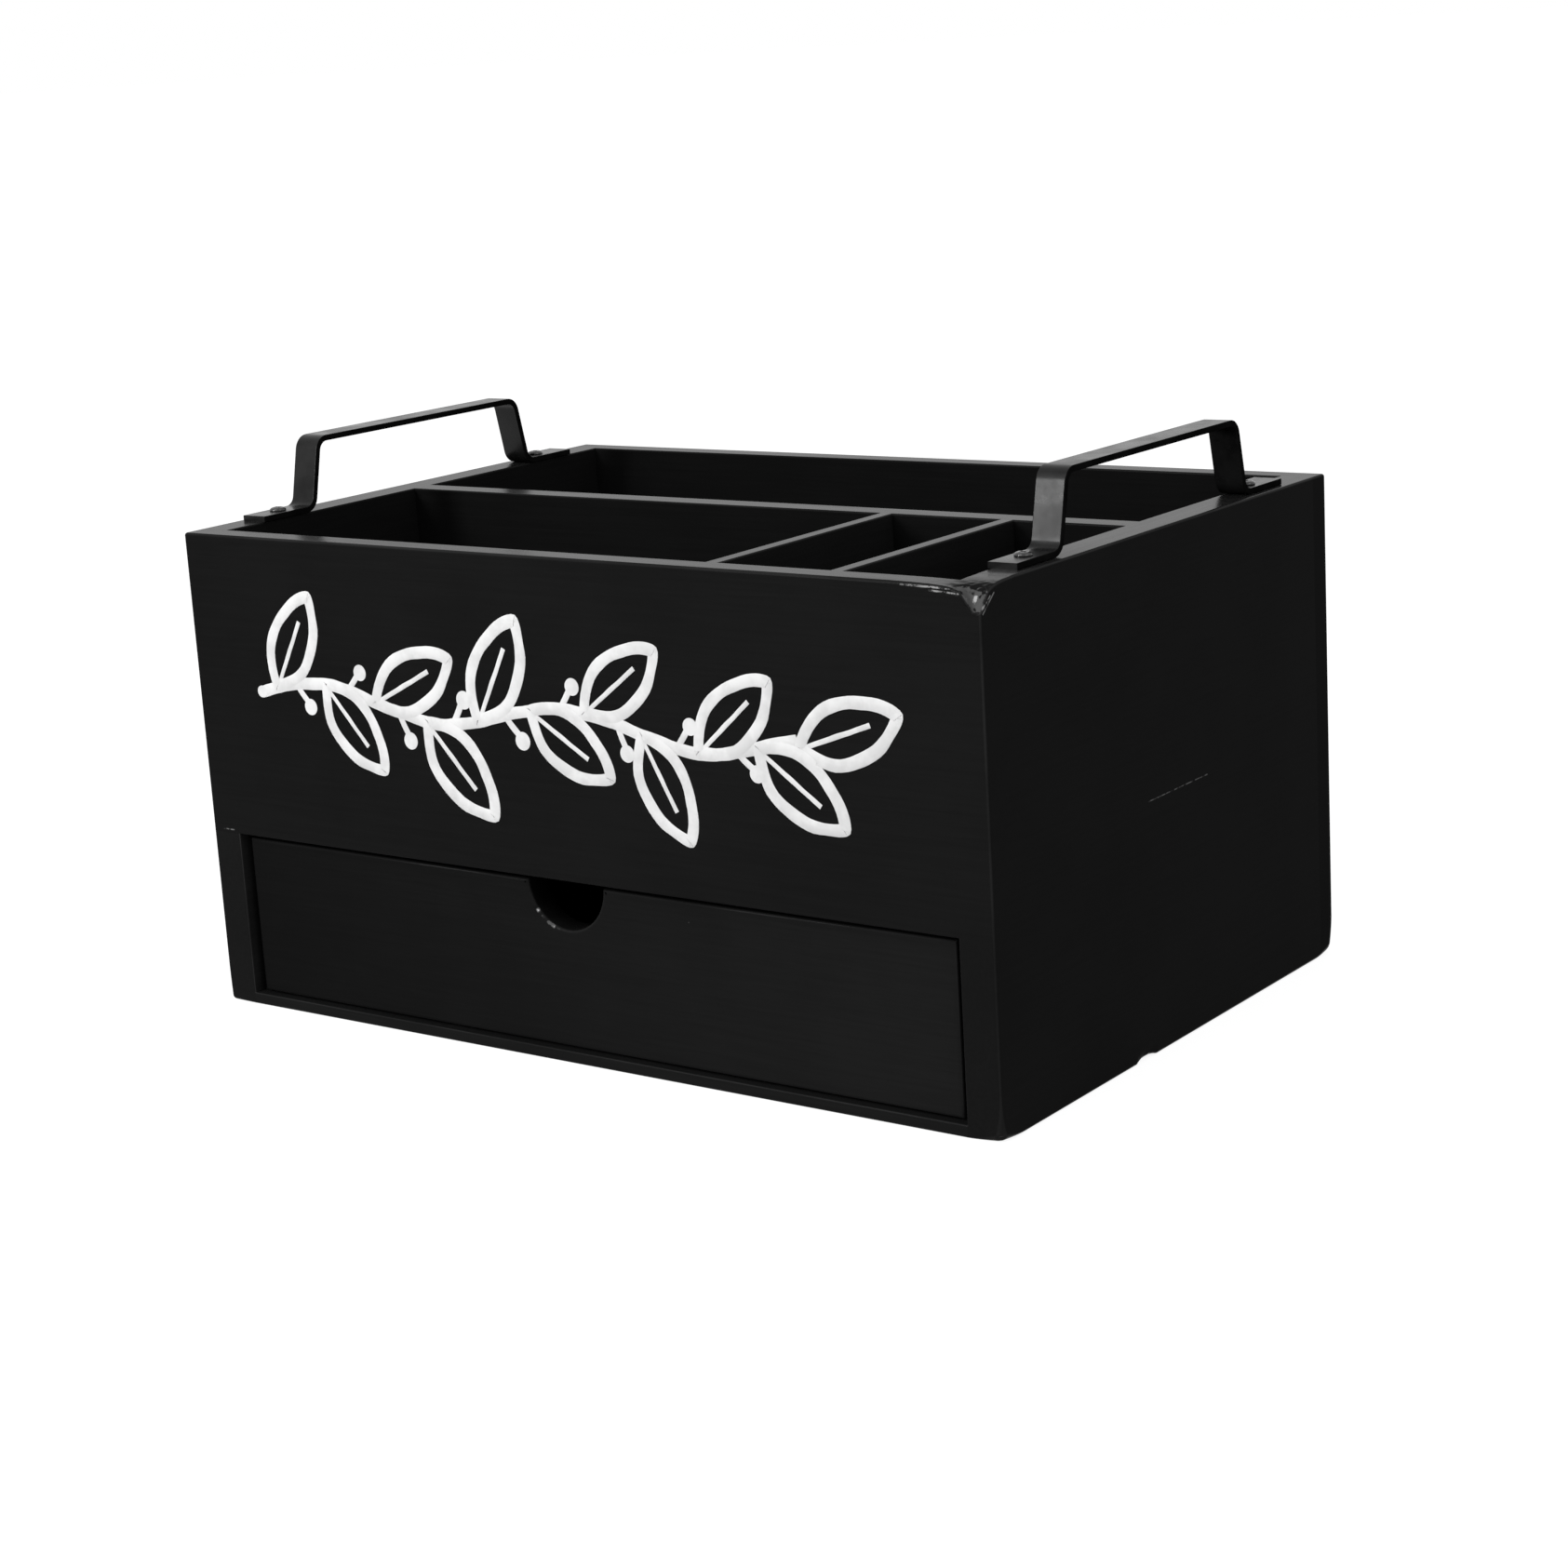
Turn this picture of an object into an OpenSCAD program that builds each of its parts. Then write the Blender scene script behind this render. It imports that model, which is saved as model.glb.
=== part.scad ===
// A painted wooden countertop box with open bins on top, a drawer below and two steel handles.
// The middle of the underside is the origin, the front faces -Y and +Z is up. Millimetres.

/* [Box] */
// Width of the box, left to right
box_w = 312; // [290:1:360]
// Depth of the box, front to back
box_d = 210; // [196:1:250]
// Height of the box to its rim, without the handles
box_h = 162; // [150:1:200]
// Radius of the outer edges
edge_r = 1; // [0.6:0.1:2]

/* [Boards] */
// Thickness of the two end panels
end_t = 12; // [11:0.5:15]
// Thickness of the front panel
front_t = 9; // [7:0.5:12]
// Thickness of the back panel
back_t = 9; // [7:0.5:12]
// Thickness of the base board that the drawer runs on
base_t = 4; // [3:0.5:8]
// Thickness of the floor under the bins
floor_t = 5; // [4:0.5:8]
// Thickness of the long divider
long_divider_t = 9; // [6:0.5:12]
// Thickness of the cross dividers
cross_divider_t = 5; // [4:0.5:8]

/* [Bins] */
// Height of the front panel's lower edge, where the drawer opening ends
opening_h = 60; // [52:1:75]
// Middle of the long divider, counted back from the middle of the box
long_divider_y = -0.5; // [-20:0.5:15]
// Clear width of the small bin in the middle
middle_bin_w = 40; // [30:1:60]
// Clear width of the small bin at the right
right_bin_w = 39; // [30:1:60]

/* [Drawer] */
// Gap at each side of the drawer
drawer_side_gap = 2.5; // [0.5:0.1:3]
// Gap over the drawer front
drawer_top_gap = 1.8; // [1:0.1:3]
// Gap under the drawer front
drawer_bottom_gap = 0.6; // [0.3:0.1:1]
// How far the drawer front is set back from the front of the box
drawer_set_back = 2.6; // [0:0.1:5]
// Room behind the closed drawer
drawer_rear_gap = 4; // [2:0.5:15]
// Thickness of the drawer front
drawer_front_t = 9; // [7:0.5:12]
// Thickness of the drawer sides
drawer_side_t = 6; // [5:0.5:9]
// Thickness of the drawer back
drawer_back_t = 6; // [5:0.5:9]
// Thickness of the drawer bottom
drawer_bottom_t = 3; // [2:0.5:4]
// Height of the drawer sides and back
drawer_wall_h = 46; // [30:1:48]
// Height of the drawer bottom over the lower edge of the sides
drawer_bottom_lift = 3; // [2:0.5:5]
// Depth of the grooves that hold the drawer bottom
groove_depth = 2.5; // [1.5:0.5:3]
// Radius of the half-round finger notch
notch_r = 15; // [10:0.5:20]
// Middle of the finger notch, counted from the middle of the drawer front
notch_x = -3.5; // [-10:0.5:10]
// Radius of the drawer front's visible edges
drawer_edge_r = 1; // [0.4:0.1:2]

/* [Handles] */
// Width of the steel strap
strap_w = 10; // [8:0.5:11]
// Thickness of the steel strap
strap_t = 2; // [1.5:0.1:3]
// Length of a handle from foot end to foot end
handle_l = 160; // [154:1:180]
// Height of a handle over the rim
handle_h = 25; // [20:0.5:40]
// Distance between the middles of the uprights at their feet
handle_foot_span = 112; // [104:1:118]
// Distance between the middles of the uprights at their tops
handle_top_span = 102; // [90:1:112]
// Radius inside the strap's bends
bend_r = 3.5; // [2:0.5:6]
// Middle of the strap, counted in from the outer face of the end panel
handle_inset = 8; // [6:0.5:9]

/* [Screws] */
// Diameter of the handle screws
screw_d = 3; // [2.5:0.1:3.5]
// Length of the handle screws under their heads
screw_l = 18; // [12:1:25]
// Diameter of the screw heads
screw_head_d = 5.6; // [5:0.1:7]
// Height of the screw heads
screw_head_h = 1.2; // [0.9:0.1:2.5]
// Clearance round a screw in the strap's hole
screw_clear = 0.2; // [0.1:0.1:0.4]
// Gap between the front screw's head and the bend of the front upright
front_screw_gap = 6.2; // [0.3:0.1:9]
// Gap between the rear screw's head and the bend of the rear upright
rear_screw_gap = 3.4; // [0.3:0.1:9]

/* [Brads] */
// Diameter of the brad nails
brad_d = 1.2; // [1:0.1:1.6]
// Diameter of the brad heads
brad_head_d = 2; // [1.8:0.1:2.4]
// Height of the brad heads
brad_head_h = 0.6; // [0.4:0.1:1]
// Length of the brads in the box
brad_l = 25; // [20:1:30]
// Length of the brads in the drawer
drawer_brad_l = 19; // [15:1:25]
// Depth of filler over each brad head
brad_set = 0.8; // [0.5:0.1:1.5]
// Distance from the ends of a joint to its first and last brad
brad_margin = 14; // [10:1:18]
// The same distance in the drawer's corners
drawer_brad_margin = 8; // [5:0.5:12]

/* [Hidden] */

// Colours
paint = "#1c1c1c";
steel_paint = "#262626";
screw_black = "#303030";
brad_steel = "#9a9a96";

// Circles in a screw or a brad, steps in a rounded edge and in a bend of the strap
round_fn = 32;
edge_steps = 4;
bend_steps = 8;

// Brads in one row of each joint
front_brads = 3;
back_brads = 4;
base_brads = 3;
floor_brads = 3;
divider_brads = 3;
cross_brads = 2;
drawer_brads = 2;

// Faces of the box
right_x = box_w / 2;
front_y = -box_d / 2;
back_y = box_d / 2;
inner_x = right_x - end_t;
inner_front_y = front_y + front_t;
inner_back_y = back_y - back_t;

// Bins
bin_floor_z = opening_h + floor_t;
divider_front_y = long_divider_y - long_divider_t / 2;
divider_back_y = long_divider_y + long_divider_t / 2;
right_cross_x = inner_x - right_bin_w - cross_divider_t;
left_cross_x = right_cross_x - middle_bin_w - cross_divider_t;

// Drawer
drawer_half_w = inner_x - drawer_side_gap;
drawer_w = 2 * drawer_half_w;
drawer_front_y = front_y + drawer_set_back;
drawer_wall_y = drawer_front_y + drawer_front_t;
drawer_rear_y = inner_back_y - drawer_rear_gap;
drawer_front_z = base_t + drawer_bottom_gap;
drawer_top_z = opening_h - drawer_top_gap;
drawer_front_h = drawer_top_z - drawer_front_z;
drawer_inner_x = drawer_half_w - drawer_side_t;
drawer_floor_z = base_t + drawer_bottom_lift;

// Handles, in the plane of the rim
handle_x = right_x - handle_inset;
strap_mid_z = strap_t / 2;
upright_heading = atan2(handle_h - strap_t, (handle_foot_span - handle_top_span) / 2);
foot_bend_l = (bend_r + strap_mid_z) * tan(upright_heading / 2);
flat_foot_y = handle_foot_span / 2 + foot_bend_l + screw_head_d / 2;
screw_ys = [-flat_foot_y - front_screw_gap, flat_foot_y + rear_screw_gap];
screw_head_seat_z = box_h + strap_t;
screw_tip_l = screw_d;
screw_head_top_d = 0.86 * screw_head_d;
slot_w = screw_head_d / 7;
slot_l = screw_head_d / 2;
slot_depth = screw_head_h / 2;

// Brad places
front_brad_zs = spaced(opening_h + brad_margin, box_h - brad_margin, front_brads);
back_brad_zs = spaced(brad_margin, box_h - brad_margin, back_brads);
base_brad_ys = spaced(front_y + 2 * brad_margin, inner_back_y - 2 * brad_margin, base_brads);
floor_brad_ys = spaced(inner_front_y + 2 * brad_margin, inner_back_y - 2 * brad_margin, floor_brads);
divider_brad_zs = spaced(bin_floor_z + brad_margin, box_h - brad_margin, divider_brads);
cross_brad_zs = spaced(bin_floor_z + brad_margin, box_h - brad_margin, cross_brads);
end_mid_xs = [-right_x + end_t / 2, right_x - end_t / 2];
cross_mid_xs = [left_cross_x + cross_divider_t / 2, right_cross_x + cross_divider_t / 2];
drawer_side_mid_xs = [-drawer_half_w + drawer_side_t / 2, drawer_half_w - drawer_side_t / 2];
drawer_brad_zs = spaced(
    drawer_floor_z + drawer_bottom_t + drawer_brad_margin,
    base_t + drawer_wall_h - drawer_brad_margin,
    drawer_brads
);

// Numbers spread evenly from first to last
function spaced(first, last, count) = [for (i = [0:count - 1]) first + (last - first) * i / (count - 1)];

function reversed(list) = [for (i = [len(list) - 1:-1:0]) list[i]];

function swapped(points) = [for (p = points) [p[1], p[0]]];

// Unit vector to the left of a heading
function left_of(heading) = [-sin(heading), cos(heading)];

// Quarter round from one heading to the next about a centre
function arc(centre, r, from, to, steps) =
    [for (i = [0:steps]) let (a = from + (to - from) * i / steps) centre + r * [cos(a), sin(a)]];

// Rectangle of width w from y0 to y1 with all its corners rounded
function rounded_rect(w, y0, y1) = concat(
    arc([w / 2 - edge_r, y0 + edge_r], edge_r, -90, 0, edge_steps),
    arc([w / 2 - edge_r, y1 - edge_r], edge_r, 0, 90, edge_steps),
    arc([-w / 2 + edge_r, y1 - edge_r], edge_r, 90, 180, edge_steps),
    arc([-w / 2 + edge_r, y0 + edge_r], edge_r, 180, 270, edge_steps)
);

// Section of the drawer front from a0 to a1, with the two corners at its face rounded
function drawer_front_section(a0, a1) =
    let (r = drawer_edge_r, y0 = drawer_front_y, y1 = drawer_wall_y)
    concat(
        [[a1, y1], [a0, y1]],
        arc([a0 + r, y0 + r], r, 180, 270, edge_steps),
        arc([a1 - r, y0 + r], r, 270, 360, edge_steps)
    );

// One side of the strap's bend at a corner, offset to the left of its middle line
function bend(corner, from, to, offset) =
    let (s = sign(to - from), r = bend_r + strap_t / 2)
    let (start = corner - r * tan(abs(to - from) / 2) * [cos(from), sin(from)])
    let (centre = start + s * r * left_of(from))
    [for (i = [0:bend_steps]) let (h = from + (to - from) * i / bend_steps)
        centre + (offset - s * r) * left_of(h)];

// One side of the whole strap, seen from the right with the front at the left
function strap_side(offset) = concat(
    [[-handle_l / 2, strap_mid_z + offset]],
    bend([-handle_foot_span / 2, strap_mid_z], 0, upright_heading, offset),
    bend([-handle_top_span / 2, handle_h - strap_mid_z], upright_heading, 0, offset),
    bend([handle_top_span / 2, handle_h - strap_mid_z], 0, -upright_heading, offset),
    bend([handle_foot_span / 2, strap_mid_z], -upright_heading, 0, offset),
    [[handle_l / 2, strap_mid_z + offset]]
);

// Board between two corners
module board(low, high) {
    translate(low)
        cube(high - low);
}

// The whole box as one block with rounded outer edges, which trims the outer boards
module outer_block() {
    intersection() {
        linear_extrude(box_h)
            polygon(rounded_rect(box_w, front_y, back_y));
        translate([0, back_y, 0])
            rotate([90, 0, 0])
                linear_extrude(box_d)
                    polygon(rounded_rect(box_w, 0, box_h));
        translate([-right_x, 0, 0])
            rotate([90, 0, 90])
                linear_extrude(box_w)
                    polygon(rounded_rect(box_d, 0, box_h));
    }
}

// Brad nail with its head at the origin and its shank along +Z
module brad(length) {
    union() {
        cylinder(h = brad_head_h, d = brad_head_d, $fn = round_fn);
        cylinder(h = length, d = brad_d, $fn = round_fn);
    }
}

// Brads driven inwards from the outer faces of both end panels
module end_brads(ys, zs) {
    for (side = [-1, 1])
        for (y = ys)
            for (z = zs)
                translate([side * (right_x - brad_set), y, z])
                    rotate([0, -90 * side, 0])
                        brad(brad_l);
}

// Brads driven back from a face at y
module backward_brads(xs, y, zs, length) {
    for (x = xs)
        for (z = zs)
            translate([x, y + brad_set, z])
                rotate([-90, 0, 0])
                    brad(length);
}

// Brads driven forward from a face at y
module forward_brads(xs, y, zs, length) {
    for (x = xs)
        for (z = zs)
            translate([x, y - brad_set, z])
                rotate([90, 0, 0])
                    brad(length);
}

module front_panel_brads() {
    color(brad_steel) {
        backward_brads(end_mid_xs, front_y, front_brad_zs, brad_l);
        backward_brads(cross_mid_xs, front_y, cross_brad_zs, brad_l);
    }
}

module back_panel_brads() {
    color(brad_steel)
        forward_brads(end_mid_xs, back_y, back_brad_zs, brad_l);
}

module base_board_brads() {
    color(brad_steel)
        end_brads(base_brad_ys, [base_t / 2]);
}

module bin_floor_brads() {
    color(brad_steel)
        end_brads(floor_brad_ys, [opening_h + floor_t / 2]);
}

module long_divider_brads() {
    color(brad_steel)
        end_brads([long_divider_y], divider_brad_zs);
}

module cross_divider_brads() {
    color(brad_steel)
        forward_brads(cross_mid_xs, divider_back_y, cross_brad_zs, brad_l);
}

// Screw with its head over z = 0, its shank below and a cross recess in the head
module screw() {
    difference() {
        union() {
            cylinder(h = screw_head_h, d1 = screw_head_d, d2 = screw_head_top_d, $fn = round_fn);
            screw_shank();
        }
        for (turned = [0, 90])
            rotate([0, 0, turned])
                translate([-slot_l / 2, -slot_w / 2, screw_head_h - slot_depth])
                    cube([slot_l, slot_w, screw_head_h]);
    }
}

module screw_shank() {
    translate([0, 0, -screw_l + screw_tip_l])
        cylinder(h = screw_l - screw_tip_l, d = screw_d, $fn = round_fn);
    translate([0, 0, -screw_l])
        cylinder(h = screw_tip_l, d1 = screw_d / 6, d2 = screw_d, $fn = round_fn);
}

module at_screws(x) {
    for (y = screw_ys)
        translate([x, y, screw_head_seat_z])
            children();
}

module handle_screws(x) {
    color(screw_black)
        at_screws(x)
            screw();
}

module left_handle_screws() {
    handle_screws(-handle_x);
}

module right_handle_screws() {
    handle_screws(handle_x);
}

module handle(x) {
    color(steel_paint)
        difference() {
            translate([x - strap_w / 2, 0, box_h])
                rotate([90, 0, 90])
                    linear_extrude(strap_w)
                        polygon(concat(strap_side(strap_t / 2), reversed(strap_side(-strap_t / 2))));
            at_screws(x)
                translate([0, 0, -2 * strap_t])
                    cylinder(h = 3 * strap_t, d = screw_d + 2 * screw_clear, $fn = round_fn);
        }
}

module left_handle() {
    handle(-handle_x);
}

module right_handle() {
    handle(handle_x);
}

// End panel with a rebate that takes the end of the front panel
module end_panel(side) {
    color(paint)
        difference() {
            intersection() {
                outer_block();
                union() {
                    board(
                        [side > 0 ? inner_x : -right_x, inner_front_y, 0],
                        [side > 0 ? right_x : -inner_x, inner_back_y, box_h]
                    );
                    board(
                        [side > 0 ? inner_x : -right_x, front_y, 0],
                        [side > 0 ? right_x : -inner_x, inner_back_y, opening_h]
                    );
                }
            }
            front_panel_brads();
            back_panel_brads();
            base_board_brads();
            bin_floor_brads();
            long_divider_brads();
            at_screws(side * handle_x)
                screw_shank();
        }
}

module left_end_panel() {
    end_panel(-1);
}

module right_end_panel() {
    end_panel(1);
}

module front_panel() {
    color(paint)
        difference() {
            intersection() {
                outer_block();
                board([-right_x, front_y, opening_h], [right_x, inner_front_y, box_h]);
            }
            front_panel_brads();
        }
}

module back_panel() {
    color(paint)
        difference() {
            intersection() {
                outer_block();
                board([-right_x, inner_back_y, 0], [right_x, back_y, box_h]);
            }
            back_panel_brads();
        }
}

module base_board() {
    color(paint)
        difference() {
            intersection() {
                outer_block();
                board([-inner_x, front_y, 0], [inner_x, inner_back_y, base_t]);
            }
            base_board_brads();
        }
}

module bin_floor() {
    color(paint)
        difference() {
            board([-inner_x, inner_front_y, opening_h], [inner_x, inner_back_y, bin_floor_z]);
            bin_floor_brads();
        }
}

module long_divider() {
    color(paint)
        difference() {
            board([-inner_x, divider_front_y, bin_floor_z], [inner_x, divider_back_y, box_h]);
            long_divider_brads();
            cross_divider_brads();
        }
}

module cross_divider(x) {
    color(paint)
        difference() {
            board([x, inner_front_y, bin_floor_z], [x + cross_divider_t, divider_front_y, box_h]);
            front_panel_brads();
            cross_divider_brads();
        }
}

module left_cross_divider() {
    cross_divider(left_cross_x);
}

module right_cross_divider() {
    cross_divider(right_cross_x);
}

module drawer_front_brads() {
    color(brad_steel)
        backward_brads(drawer_side_mid_xs, drawer_front_y, drawer_brad_zs, drawer_brad_l);
}

module drawer_back_brads() {
    color(brad_steel)
        for (side = [-1, 1])
            for (z = drawer_brad_zs)
                translate([side * (drawer_half_w - brad_set), drawer_rear_y - drawer_back_t / 2, z])
                    rotate([0, -90 * side, 0])
                        brad(drawer_brad_l);
}

module drawer_bottom() {
    color(paint)
        board(
            [-drawer_inner_x - groove_depth, drawer_wall_y - groove_depth, drawer_floor_z],
            [
                drawer_inner_x + groove_depth,
                drawer_rear_y - drawer_back_t + groove_depth,
                drawer_floor_z + drawer_bottom_t
            ]
        );
}

// Board with its front edges rounded, a groove behind and a finger notch in its top edge
module drawer_front() {
    color(paint)
        difference() {
            intersection() {
                translate([0, 0, drawer_front_z])
                    linear_extrude(drawer_front_h)
                        polygon(drawer_front_section(-drawer_half_w, drawer_half_w));
                translate([-drawer_half_w, 0, 0])
                    rotate([90, 0, 90])
                        linear_extrude(drawer_w)
                            polygon(swapped(drawer_front_section(drawer_front_z, drawer_top_z)));
            }
            translate([notch_x, drawer_wall_y + drawer_front_t, drawer_top_z])
                rotate([90, 0, 0])
                    cylinder(h = 3 * drawer_front_t, r = notch_r, $fn = 2 * round_fn);
            drawer_bottom();
            drawer_front_brads();
        }
}

module drawer_side(side) {
    color(paint)
        difference() {
            board(
                [side > 0 ? drawer_inner_x : -drawer_half_w, drawer_wall_y, base_t],
                [side > 0 ? drawer_half_w : -drawer_inner_x, drawer_rear_y, base_t + drawer_wall_h]
            );
            drawer_bottom();
            drawer_front_brads();
            drawer_back_brads();
        }
}

module drawer_left_side() {
    drawer_side(-1);
}

module drawer_right_side() {
    drawer_side(1);
}

module drawer_back() {
    color(paint)
        difference() {
            board(
                [-drawer_inner_x, drawer_rear_y - drawer_back_t, base_t],
                [drawer_inner_x, drawer_rear_y, base_t + drawer_wall_h]
            );
            drawer_bottom();
            drawer_back_brads();
        }
}

left_end_panel();
right_end_panel();
front_panel();
back_panel();
base_board();
bin_floor();
long_divider();
left_cross_divider();
right_cross_divider();
left_handle();
right_handle();
left_handle_screws();
right_handle_screws();
front_panel_brads();
back_panel_brads();
base_board_brads();
bin_floor_brads();
long_divider_brads();
cross_divider_brads();
drawer_front();
drawer_left_side();
drawer_right_side();
drawer_back();
drawer_bottom();
drawer_front_brads();
drawer_back_brads();
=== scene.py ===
# %% [markdown]
# # A countertop organizer in black painted wood
# The box has one long bin at the back, three bins in front of it, a drawer below and a bent steel
# handle on each end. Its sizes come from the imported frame, which is loaded here and never changed.
# Everything below dresses that frame: boards with eased edges, paint, steel, screws and a painted sprig.

# %% Load the frame
import math
import bmesh
import bpy
import numpy as np
from mathutils import Matrix, Vector, noise


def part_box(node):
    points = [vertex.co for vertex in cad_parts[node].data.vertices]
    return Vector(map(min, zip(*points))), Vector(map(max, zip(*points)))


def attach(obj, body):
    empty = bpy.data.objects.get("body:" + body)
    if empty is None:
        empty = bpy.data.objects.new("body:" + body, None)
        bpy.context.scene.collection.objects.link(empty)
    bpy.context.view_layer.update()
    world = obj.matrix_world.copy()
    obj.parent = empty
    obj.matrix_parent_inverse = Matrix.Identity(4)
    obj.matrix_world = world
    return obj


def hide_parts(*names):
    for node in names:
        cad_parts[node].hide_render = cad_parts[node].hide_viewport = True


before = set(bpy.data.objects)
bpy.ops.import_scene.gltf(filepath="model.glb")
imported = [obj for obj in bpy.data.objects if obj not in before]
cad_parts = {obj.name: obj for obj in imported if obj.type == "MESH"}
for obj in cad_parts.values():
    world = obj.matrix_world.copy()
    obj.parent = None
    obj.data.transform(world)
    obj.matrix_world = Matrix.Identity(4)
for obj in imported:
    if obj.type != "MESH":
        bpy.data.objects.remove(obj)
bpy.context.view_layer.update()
MM = 0.001

# %% [markdown]
# ## The camera
# The camera comes first, because every later choice is judged through it. A product shot of a small box
# is taken with a longish lens from a little above the rim. The turn, the height and the slight roll were
# found by fitting a pinhole camera to the outline of the box, which is surer than moving it by eye.

# %% Camera
TURN, RISE, ROLL = 36.73, 13.70, -3.39
CAMERA_PLACE = Vector((0.6137, -0.8125, 0.3148))
LENS_MM, SENSOR_MM = 71.69, 36.0


def camera_axes(turn, rise, roll):
    """Right, up and backward directions of a camera that is turned, raised and rolled, in degrees."""
    a, e, r = (math.radians(v) for v in (turn, rise, roll))
    back = Vector((math.sin(a) * math.cos(e), -math.cos(a) * math.cos(e), math.sin(e)))
    right = Vector((0, 0, 1)).cross(back).normalized()
    up = back.cross(right)
    return right * math.cos(r) + up * math.sin(r), up * math.cos(r) - right * math.sin(r), back


camera = bpy.data.objects.new("camera", bpy.data.cameras.new("camera"))
bpy.context.scene.collection.objects.link(camera)
camera.data.lens = LENS_MM
camera.data.sensor_width = SENSOR_MM
camera.data.clip_start = 0.05
camera.matrix_world = Matrix.Translation(CAMERA_PLACE) @ Matrix(camera_axes(TURN, RISE, ROLL)).transposed().to_4x4()
bpy.context.scene.camera = camera
bpy.context.scene.view_settings.view_transform = "Standard"
print("camera:", LENS_MM, "mm lens at", tuple(round(v, 3) for v in CAMERA_PLACE))

# %% [markdown]
# ## Node helpers
# Materials, the floor and the Geometry Nodes trees are all built from nodes in the script. One helper
# adds a node, sets its properties, and fills each input with a value or a link, so that a tree reads
# like a list of steps.

# %% A helper that adds a node


def add(tree, kind, inputs=None, **settings):
    """Add a node; inputs are named or numbered, and hold a value or another node's output socket."""
    made = tree.nodes.new(kind)
    for name, value in settings.items():
        setattr(made, name, value)
    for key, value in (inputs or {}).items():
        if isinstance(value, bpy.types.NodeSocket):
            tree.links.new(value, made.inputs[key])
        else:
            made.inputs[key].default_value = value
    return made


def math_node(tree, operation, a, b=0.0, clamp=False):
    """The result of one operation on two values or sockets."""
    return add(tree, "ShaderNodeMath", {0: a, 1: b}, operation=operation, use_clamp=clamp).outputs[0]


def ramp(tree, value, low, high, to_low=0.0, to_high=1.0, smooth=True):
    """Carry a value from one range to another, held at the ends."""
    kind = "SMOOTHSTEP" if smooth else "LINEAR"
    inputs = {"Value": value, "From Min": low, "From Max": high, "To Min": to_low, "To Max": to_high}
    return add(tree, "ShaderNodeMapRange", inputs, interpolation_type=kind).outputs["Result"]


def blend_colours(tree, share, first, second):
    """A colour between two, by a share of 0 to 1."""
    return add(tree, "ShaderNodeMix", {0: share, 6: first, 7: second}, data_type="RGBA").outputs[2]


def grey(level):
    """A neutral colour of one linear level."""
    return (level, level, level, 1.0)


print("node helpers ready")

# %% [markdown]
# ## Floor and backdrop
# The box stands on a seamless white table. A white sweep lit until it clips would also light the box too
# strongly. So the floor and the world glow at the level of white for the rays that look at them, straight
# or by way of a mirror or glass, while the light that falls on the box comes from the lamps and a softer
# sky. The floor keeps some plain pale diffuse, which is where the shadow under the box shows.

# %% Floor and world
SKY_LEVEL = 0.50
FLOOR_GLOW = 0.88
FLOOR_COLOUR = 0.30
FLOOR_DROP = 0.0002


def seen_rays(tree):
    """1 for rays from the camera, from a mirror or through glass, and 0 for the rays that light things."""
    path = add(tree, "ShaderNodeLightPath").outputs
    mirrored = math_node(tree, "MAXIMUM", path["Is Glossy Ray"], path["Is Transmission Ray"])
    return math_node(tree, "MAXIMUM", path["Is Camera Ray"], mirrored)


world = bpy.data.worlds.new("white_room")
world.use_nodes = True
world.node_tree.nodes.clear()
sky_strength = ramp(world.node_tree, seen_rays(world.node_tree), 0, 1, SKY_LEVEL, 1.0, smooth=False)
sky = add(world.node_tree, "ShaderNodeBackground", {"Color": grey(1.0), "Strength": sky_strength})
add(world.node_tree, "ShaderNodeOutputWorld", {"Surface": sky.outputs[0]})
bpy.context.scene.world = world

floor_paint = bpy.data.materials.new("floor_white")
floor_paint.use_nodes = True
floor_paint.node_tree.nodes.clear()
glow_strength = ramp(floor_paint.node_tree, seen_rays(floor_paint.node_tree), 0, 1, 0, FLOOR_GLOW, smooth=False)
glow = add(floor_paint.node_tree, "ShaderNodeEmission", {"Color": grey(1.0), "Strength": glow_strength})
pale = add(floor_paint.node_tree, "ShaderNodeBsdfDiffuse", {"Color": grey(FLOOR_COLOUR)})
both = add(floor_paint.node_tree, "ShaderNodeAddShader", {0: glow.outputs[0], 1: pale.outputs[0]})
add(floor_paint.node_tree, "ShaderNodeOutputMaterial", {"Surface": both.outputs[0]})

floor_mesh = bpy.data.meshes.new("floor")
FLOOR_HALF = 30
corners = [(-FLOOR_HALF, -FLOOR_HALF), (FLOOR_HALF, -FLOOR_HALF), (FLOOR_HALF, FLOOR_HALF), (-FLOOR_HALF, FLOOR_HALF)]
floor_mesh.from_pydata([(x, y, -FLOOR_DROP) for x, y in corners], [], [(0, 1, 2, 3)])
floor_mesh.materials.append(floor_paint)
floor = bpy.data.objects.new("floor", floor_mesh)
bpy.context.scene.collection.objects.link(floor)
print("floor and world ready")

# %% [markdown]
# ## Lamps
# A large soft lamp high at the front left lights the front and the tops. A weaker one at the right opens
# up the walls that face away from it. A small bright softbox between them, a little above the rim, is
# what shines back from the uprights of the handles. Black gloss shows almost nothing but the lamps, so
# their places matter more than their power.

# %% Lamps


def softbox(name, turn, rise, distance, width, height, level):
    """A soft lamp aimed at the middle of the box; level is its brightness against white."""
    lamp = bpy.data.lights.new(name, "AREA")
    lamp.shape = "RECTANGLE"
    lamp.size = width
    lamp.size_y = height
    lamp.energy = math.pi * level * width * height
    holder = bpy.data.objects.new(name, lamp)
    bpy.context.scene.collection.objects.link(holder)
    back = camera_axes(turn, rise, 0)[2]
    holder.location = Vector((0, 0, 0.1)) + back * distance
    holder.rotation_mode = "QUATERNION"
    holder.rotation_quaternion = (-back).to_track_quat("-Z", "Y")
    return holder


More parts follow.
